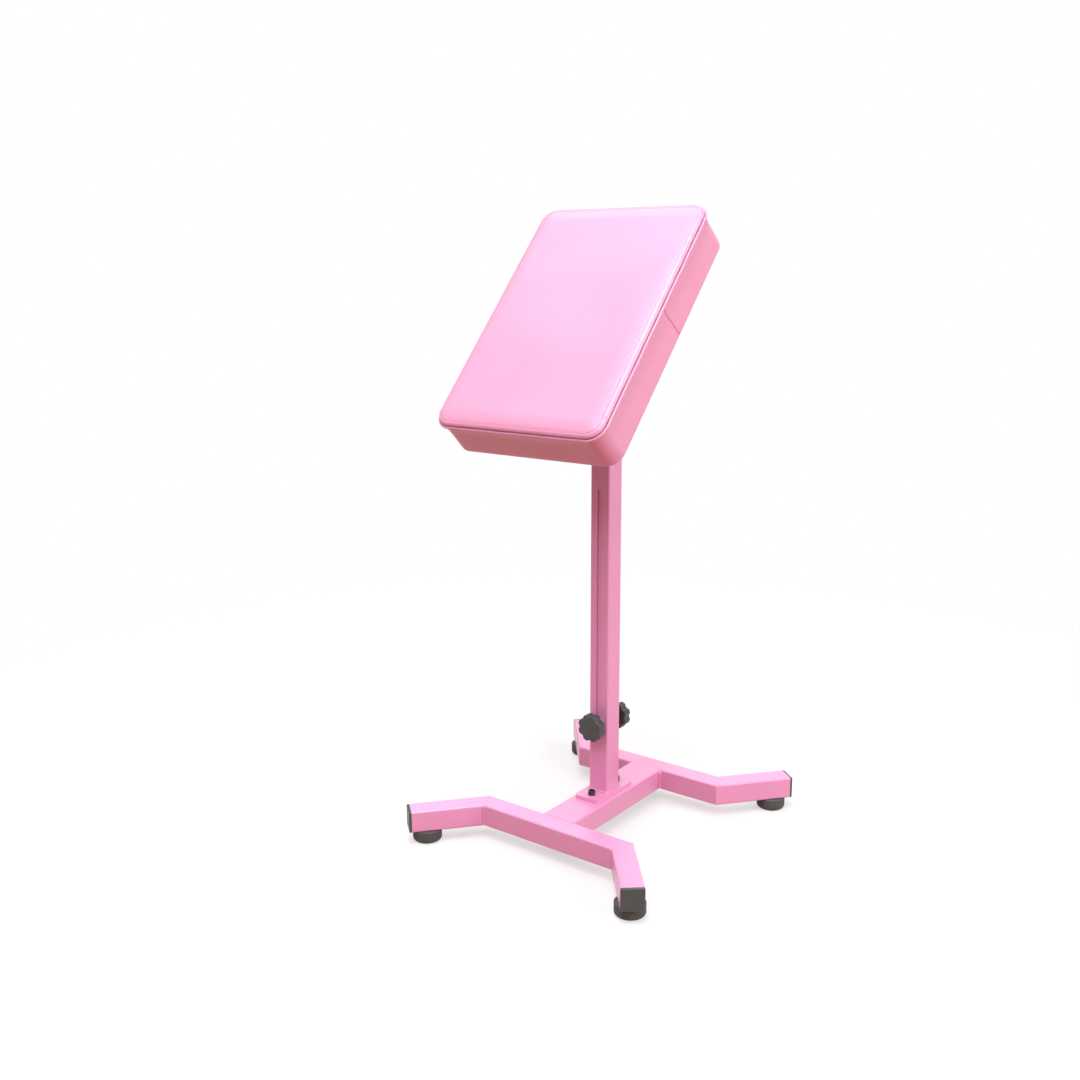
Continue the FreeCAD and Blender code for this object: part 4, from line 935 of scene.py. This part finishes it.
def makePiping():
    bm = bmesh.new()
    bmesh.ops.create_circle(bm, segments=piping["sides"], radius=piping["radius"],
                            matrix=Matrix.Rotation(quarterTurn, 4, "X"))
    start = (cover["halfWidth"] + piping["outset"], cover["corner"] - cover["halfLength"], cover["seam"])
    bmesh.ops.translate(bm, verts=bm.verts, vec=start)
    sweepRound(bm, bm.verts[:] + bm.edges[:])
    random.seed(3)
    upPhases = [random.uniform(0, phaseSpan) for each in piping["upWaves"]]
    outPhase = random.uniform(0, phaseSpan)
    for vert in bm.verts:
        way = outlineLength(vert.co)
        rise = sum(math.sin(way / wave + phase) for wave, phase in zip(piping["upWaves"], upPhases))
        outward = splitReach(vert.co)[1].normalized() * math.sin(way / piping["outWave"] + outPhase)
        vert.co += (zAxis * rise + outward) * piping["wobble"] / 2
    faceOutward(bm)
    piece = addPiece("cushion_piping", bm, "cushion", "pink_piping", place=cushionPlace)
    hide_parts("pad_welt")


makePiping()
print("piping made")


# Top stitching: two rows of short thread stitches along the top panel's edge, laid on the cover.

def outlineWhole(width, length, corner):
    return 4 * (width + length - 2 * corner) + fullTurn * corner


def outlinePoint(way, width, length, corner):
    # place and outward direction at a way round the outline, from the middle of its right side
    along, across = length - corner, 2 * (width - corner)
    arc = corner * quarterTurn
    place = Vector((width, 0, 0))
    heading = 0.0
    for run in (along, across, 2 * along, across, along):
        forward = direction(heading + quarterTurn)
        outward = direction(heading)
        if way <= run:
            return place + forward * way, outward
        place += forward * run
        way -= run
        centre = place - outward * corner
        if way <= arc:
            outward = direction(heading + way / corner)
            return centre + outward * corner, outward
        way -= arc
        heading += quarterTurn
        place = centre + direction(heading) * corner


def makeStitching():
    bm = bmesh.new()
    outline = (cover["halfWidth"], cover["halfLength"], cover["corner"])
    whole = outlineWhole(*outline)
    count = round(whole / stitching["pitch"])
    skin = BVHTree.FromObject(coverPiece, bpy.context.evaluated_depsgraph_get())
    back = cushionPlace.inverted()
    size = Matrix.Diagonal((stitching["radius"], stitching["length"] / 2, stitching["radius"], 1))
    random.seed(11)
    for distance in stitching["rows"]:
        outward, height = panelProfile(distance)
        nextOut, nextUp = panelProfile(distance + stitching["slopeStep"])
        slope = math.atan2(nextUp - height, nextOut - outward)
        for number in range(count):
            foot, side = outlinePoint((number + 0.5) * whole / count, *outline)
            normal = side * math.sin(slope) - zAxis * math.cos(slope)
            place = foot + side * outward + zAxis * (cover["seam"] + height)
            hit = skin.ray_cast(cushionPlace @ (place + normal * stitching["castFrom"]),
                                cushionPlace.to_3x3() @ -normal)[0]
            place = back @ hit + normal * stitching["proud"]
            turn = Matrix((-side, zAxis.cross(side), zAxis)).transposed().to_4x4()
            sway = Matrix.Rotation(random.uniform(-stitching["sway"], stitching["sway"]), 4, normal)
            bmesh.ops.create_icosphere(bm, subdivisions=1, radius=1.0,
                                       matrix=Matrix.Translation(place) @ sway @ turn @ size)
    faceOutward(bm)
    addPiece("top_stitching", bm, "cushion", "pink_piping", material=threadMaterial, place=cushionPlace)


makeStitching()
print("stitching made")


# Underside of the cushion: a felt dust cover inside the turned edge, with two rows of staples.

feltLow, feltHigh = cushionBox("dust_cover")

felt = {
    "width": feltHigh.x - feltLow.x,
    "length": feltHigh.y - feltLow.y,
    "corner": 0.005,
    "thickness": 0.0009,
    "columns": 40,
    "rows": 60,
    "wave": 0.00022,
    "waveAcross": 0.017,
    "waveAlong": 0.023,
}

staples = {
    "width": 0.0011,
    "length": 0.010,
    "height": 0.0005,
    "rounding": 0.00016,
    "sunk": 0.00005,
    "spacing": 0.031,
    "start": 0.25,  # of the first one, in spacings
    "insets": (0.0165, 0.0285),  # from the cushion's side: a row in the turned edge, and one in the felt
    "leastCorner": 0.004,
}


def makeDustCover():
    bm = bmesh.new()
    bmesh.ops.create_grid(bm, x_segments=felt["columns"], y_segments=felt["rows"], size=1.0)
    width, length = felt["width"] / 2, felt["length"] / 2
    random.seed(5)
    phase = random.uniform(0, phaseSpan)
    for vert in bm.verts:
        edge = (1 - vert.co.x ** 2) * (1 - vert.co.y ** 2)
        flat = Vector((vert.co.x * width, vert.co.y * length, 0))
        centre, reach = roundCorner(flat, width, length, felt["corner"])
        place = centre + reach
        wave = math.sin(place.x / felt["waveAcross"] + phase) * math.sin(place.y / felt["waveAlong"])
        vert.co = place + zAxis * (feltLow.z + 2 * felt["wave"] * (1 + wave * edge))
    faceOutward(bm)
    bmesh.ops.solidify(bm, geom=bm.faces[:], thickness=felt["thickness"])
    faceOutward(bm)
    lowest = min(vert.co.z for vert in bm.verts)
    bmesh.ops.translate(bm, verts=bm.verts, vec=(0, 0, feltLow.z - lowest))
    piece = addPiece("felt_dust_cover", bm, "cushion", "black_felt", place=cushionPlace)
    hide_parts("dust_cover")


def makeStaples():
    bm = bmesh.new()
    size = Matrix.Diagonal((staples["width"], staples["length"], staples["height"], 1))
    for inset in staples["insets"]:
        outline = (cover["halfWidth"] - inset, cover["halfLength"] - inset,
                   max(cover["corner"] - inset, staples["leastCorner"]))
        whole = outlineWhole(*outline)
        count = round(whole / staples["spacing"])
        for number in range(count):
            place, side = outlinePoint((number + staples["start"]) * whole / count, *outline)
            place += zAxis * (feltLow.z - staples["sunk"])
            turn = Matrix((side, zAxis.cross(side), zAxis)).transposed().to_4x4()
            bmesh.ops.create_cube(bm, size=1.0, matrix=Matrix.Translation(place) @ turn @ size)
    bmesh.ops.bevel(bm, geom=bm.edges[:], offset=staples["rounding"], offset_type="OFFSET", segments=1,
                    profile=0.5, affect="EDGES", material=-1)
    addPiece("cover_staples", bm, "cushion", "zinc_steel", smooth=False, place=cushionPlace)


makeDustCover()
makeStaples()
print("underside made")


# Weld beads, each a rippled cord of filler under the powder coat.

railLow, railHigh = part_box("front_rail")
tubeLow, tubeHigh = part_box("cross_tube")
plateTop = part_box("base_plate")[1].z
postLow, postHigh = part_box("outer_post")

weld = {
    "tube": railHigh.z - railLow.z,
    "tubeCorner": 0.0025,
    "legAngle": math.radians(50.0),
    "bend": 0.111,  # of the rails' bends from the middle
    "flushRadius": 0.0009,  # of the dressed seams round the bends
    "flushProud": 0.00028,
    "insideRadius": 0.0021,  # of the upright beads in the bends' inner corners
    "insideProud": 0.0002,
    "insideEnds": 0.8,  # share of the tube's corner that they leave free
    "filletRadius": 0.0032,  # of the upright beads between the cross tube and the rails
    "filletOut": 0.35,  # share of the radius from each face to their middle
    "filletLow": 0.003,
    "filletHigh": 0.0025,
    "levelRadius": 0.0014,  # of the level beads over and under the cross tube's ends
    "levelSunk": 0.00115,
    "levelIn": 0.4,  # share of the tube's corner
    "postRadius": 0.0019,
    "earRadius": 0.0017,
    "footOut": 0.3,  # share of the radius from the faces to the post's and the ears' beads
    "earRuns": ((-0.039, -0.018), (0.008, 0.029)),  # start and end along the cushion
    "ripple": 0.0016,  # from one ripple to the next
    "rippleDepth": 0.14,  # share of the bead's radius
    "cornerPoints": 5,
}


def beadMesh(bm, points, radius, closed=False):
    # a bead through points, thick and thin in turn
    path = []
    for start, end in zip(points, points[1:] + points[:1] if closed else points[1:]):
        steps = max(1, round((end - start).length / (weld["ripple"] / 2)))
        path += [start.lerp(end, step / steps) for step in range(steps)]
    if not closed:
        path.append(points[-1])
    curve = bpy.data.curves.new("bead", "CURVE")
    curve.dimensions = "3D"
    curve.bevel_depth = 1.0
    curve.bevel_resolution = 1
    curve.use_fill_caps = True
    spline = curve.splines.new("POLY")
    spline.points.add(len(path) - 1)
    for number, (point, place) in enumerate(zip(spline.points, path)):
        point.co = (*place, 1.0)
        point.radius = radius * (1 - weld["rippleDepth"] * (number % 2))
    spline.use_cyclic_u = closed
    holder = addObject("bead", curve)
    mesh = bpy.data.meshes.new_from_object(holder)
    bm.from_mesh(mesh)
    bpy.data.meshes.remove(mesh)
    bpy.data.objects.remove(holder)
    bpy.data.curves.remove(curve)


def roundedLoop(half, height, proud, across, centre, upright):
    # points round a tube's section that stand proud of its faces
    points = []
    corner, count = weld["tubeCorner"], weld["cornerPoints"]
    for sideX, sideZ, start in ((1, 1, 0), (-1, 1, 1), (-1, -1, 2), (1, -1, 3)):
        for step in range(count):
            angle = (start + step / (count - 1)) * quarterTurn
            x = sideX * (half - corner) + (corner + proud) * math.cos(angle)
            z = sideZ * (height - corner) + (corner + proud) * math.sin(angle)
            points.append(centre + across * x + upright * z)
    return points


def railMiddle(sideY):
    # a rail's centreline, from the cross tube's end
    return (tubeHigh.y + weld["tube"] / 2) * sideY


def addBendBeads(bm, sideX, sideY):
    half = weld["tube"] / 2
    bend = Vector((sideX * weld["bend"], railMiddle(sideY), railLow.z + half))
    lean = quarterTurn + sideX * sideY * weld["legAngle"] / 2
    across = direction(lean)
    reach = half / math.cos(weld["legAngle"] / 2)
    loop = roundedLoop(reach, half, weld["flushProud"] - weld["flushRadius"], across, bend, zAxis)
    beadMesh(bm, loop, weld["flushRadius"], closed=True)
    inside = bend + across * sideY * (reach + weld["insideProud"])
    high = zAxis * (half - weld["tubeCorner"] * weld["insideEnds"])
    beadMesh(bm, [inside - high, inside + high], weld["insideRadius"])


def addCrossTubeBeads(bm, sideY):
    face = railMiddle(sideY) - sideY * weld["tube"] / 2
    out = weld["filletRadius"] * weld["filletOut"]
    for sideX in (-1, 1):
        foot = Vector((sideX * (tubeHigh.x + out), face - sideY * out, 0))
        beadMesh(bm, [foot + zAxis * (tubeLow.z + weld["filletLow"]),
                      foot + zAxis * (tubeHigh.z - weld["filletHigh"])], weld["filletRadius"])
    half = tubeHigh.x - weld["tubeCorner"]
    for height in (tubeHigh.z - weld["levelSunk"], tubeLow.z + weld["levelSunk"]):
        middle = Vector((0, face + sideY * weld["tubeCorner"] * weld["levelIn"], height))
        beadMesh(bm, [middle - Vector((half, 0, 0)), middle + Vector((half, 0, 0))], weld["levelRadius"])


def makeFrameWelds():
    bm = bmesh.new()
    for sideX in (-1, 1):
        for sideY in (-1, 1):
            addBendBeads(bm, sideX, sideY)
    for sideY in (-1, 1):
        addCrossTubeBeads(bm, sideY)
    addPiece("frame_welds", bm, "base", "pink_powder_coat")


def makePostWeld():
    bm = bmesh.new()
    half = (postHigh.x - postLow.x) / 2
    out = weld["postRadius"] * weld["footOut"]
    foot = zAxis * (plateTop + out)
    loop = roundedLoop(half, half, out, Vector((1, 0, 0)), foot, Vector((0, 1, 0)))
    beadMesh(bm, loop, weld["postRadius"], closed=True)
    addPiece("post_weld", bm, "base", "pink_powder_coat")


def makeBracketWelds():
    # stitch welds on both faces of each quadrant, where it meets the bracket plate
    bm = bmesh.new()
    out = weld["earRadius"] * weld["footOut"]
    height = cushionBox("bracket_plate")[0].z - out
    for node in ("left_quadrant", "right_quadrant"):
        earLow, earHigh = cushionBox(node)
        for x in (earLow.x - out, earHigh.x + out):
            for start, end in weld["earRuns"]:
                beadMesh(bm, [Vector((x, start, height)), Vector((x, end, height))], weld["earRadius"])
    addPiece("bracket_welds", bm, "cushion", "pink_powder_coat", place=cushionPlace)


makeFrameWelds()
makePostWeld()
makeBracketWelds()
print("welds made")


# Thread that shows on the tip of the pivot bolt, past its nut.

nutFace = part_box("pivot_lock_nut")[0].x
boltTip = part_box("pivot_bolt")[0].x

thread = {
    "radius": 0.004,  # of the shank
    "pitch": 0.00125,
    "crest": 0.00012,  # over the shank
    "root": 0.0004,  # under the shank
    "length": nutFace - boltTip - 0.0006,  # less the tip's chamfer
    "stepsPerTurn": 24,
}


def makeThread():
    # a ridge wound round the shank, towards -X
    bm = bmesh.new()
    pitch, root = thread["pitch"], thread["radius"] - thread["root"]
    corners = ((0, root), (pitch / 2, thread["radius"] + thread["crest"]), (pitch, root))
    verts = [bm.verts.new((nutFace - away, 0, height)) for away, height in corners]
    edges = [bm.edges.new(pair) for pair in zip(verts, verts[1:])]
    turns = thread["length"] / pitch - 1
    steps = round(turns * thread["stepsPerTurn"])
    bmesh.ops.spin(bm, geom=verts + edges, cent=(0, 0, 0), axis=(-1, 0, 0), angle=turns * fullTurn,
                   dvec=(-turns * pitch / steps, 0, 0), steps=steps)
    faceOutward(bm)
    addPiece("pivot_bolt_thread", bm, "mast", "zinc_steel", place=Matrix.Translation(zAxis * pivot.z))


makeThread()
print("thread made")
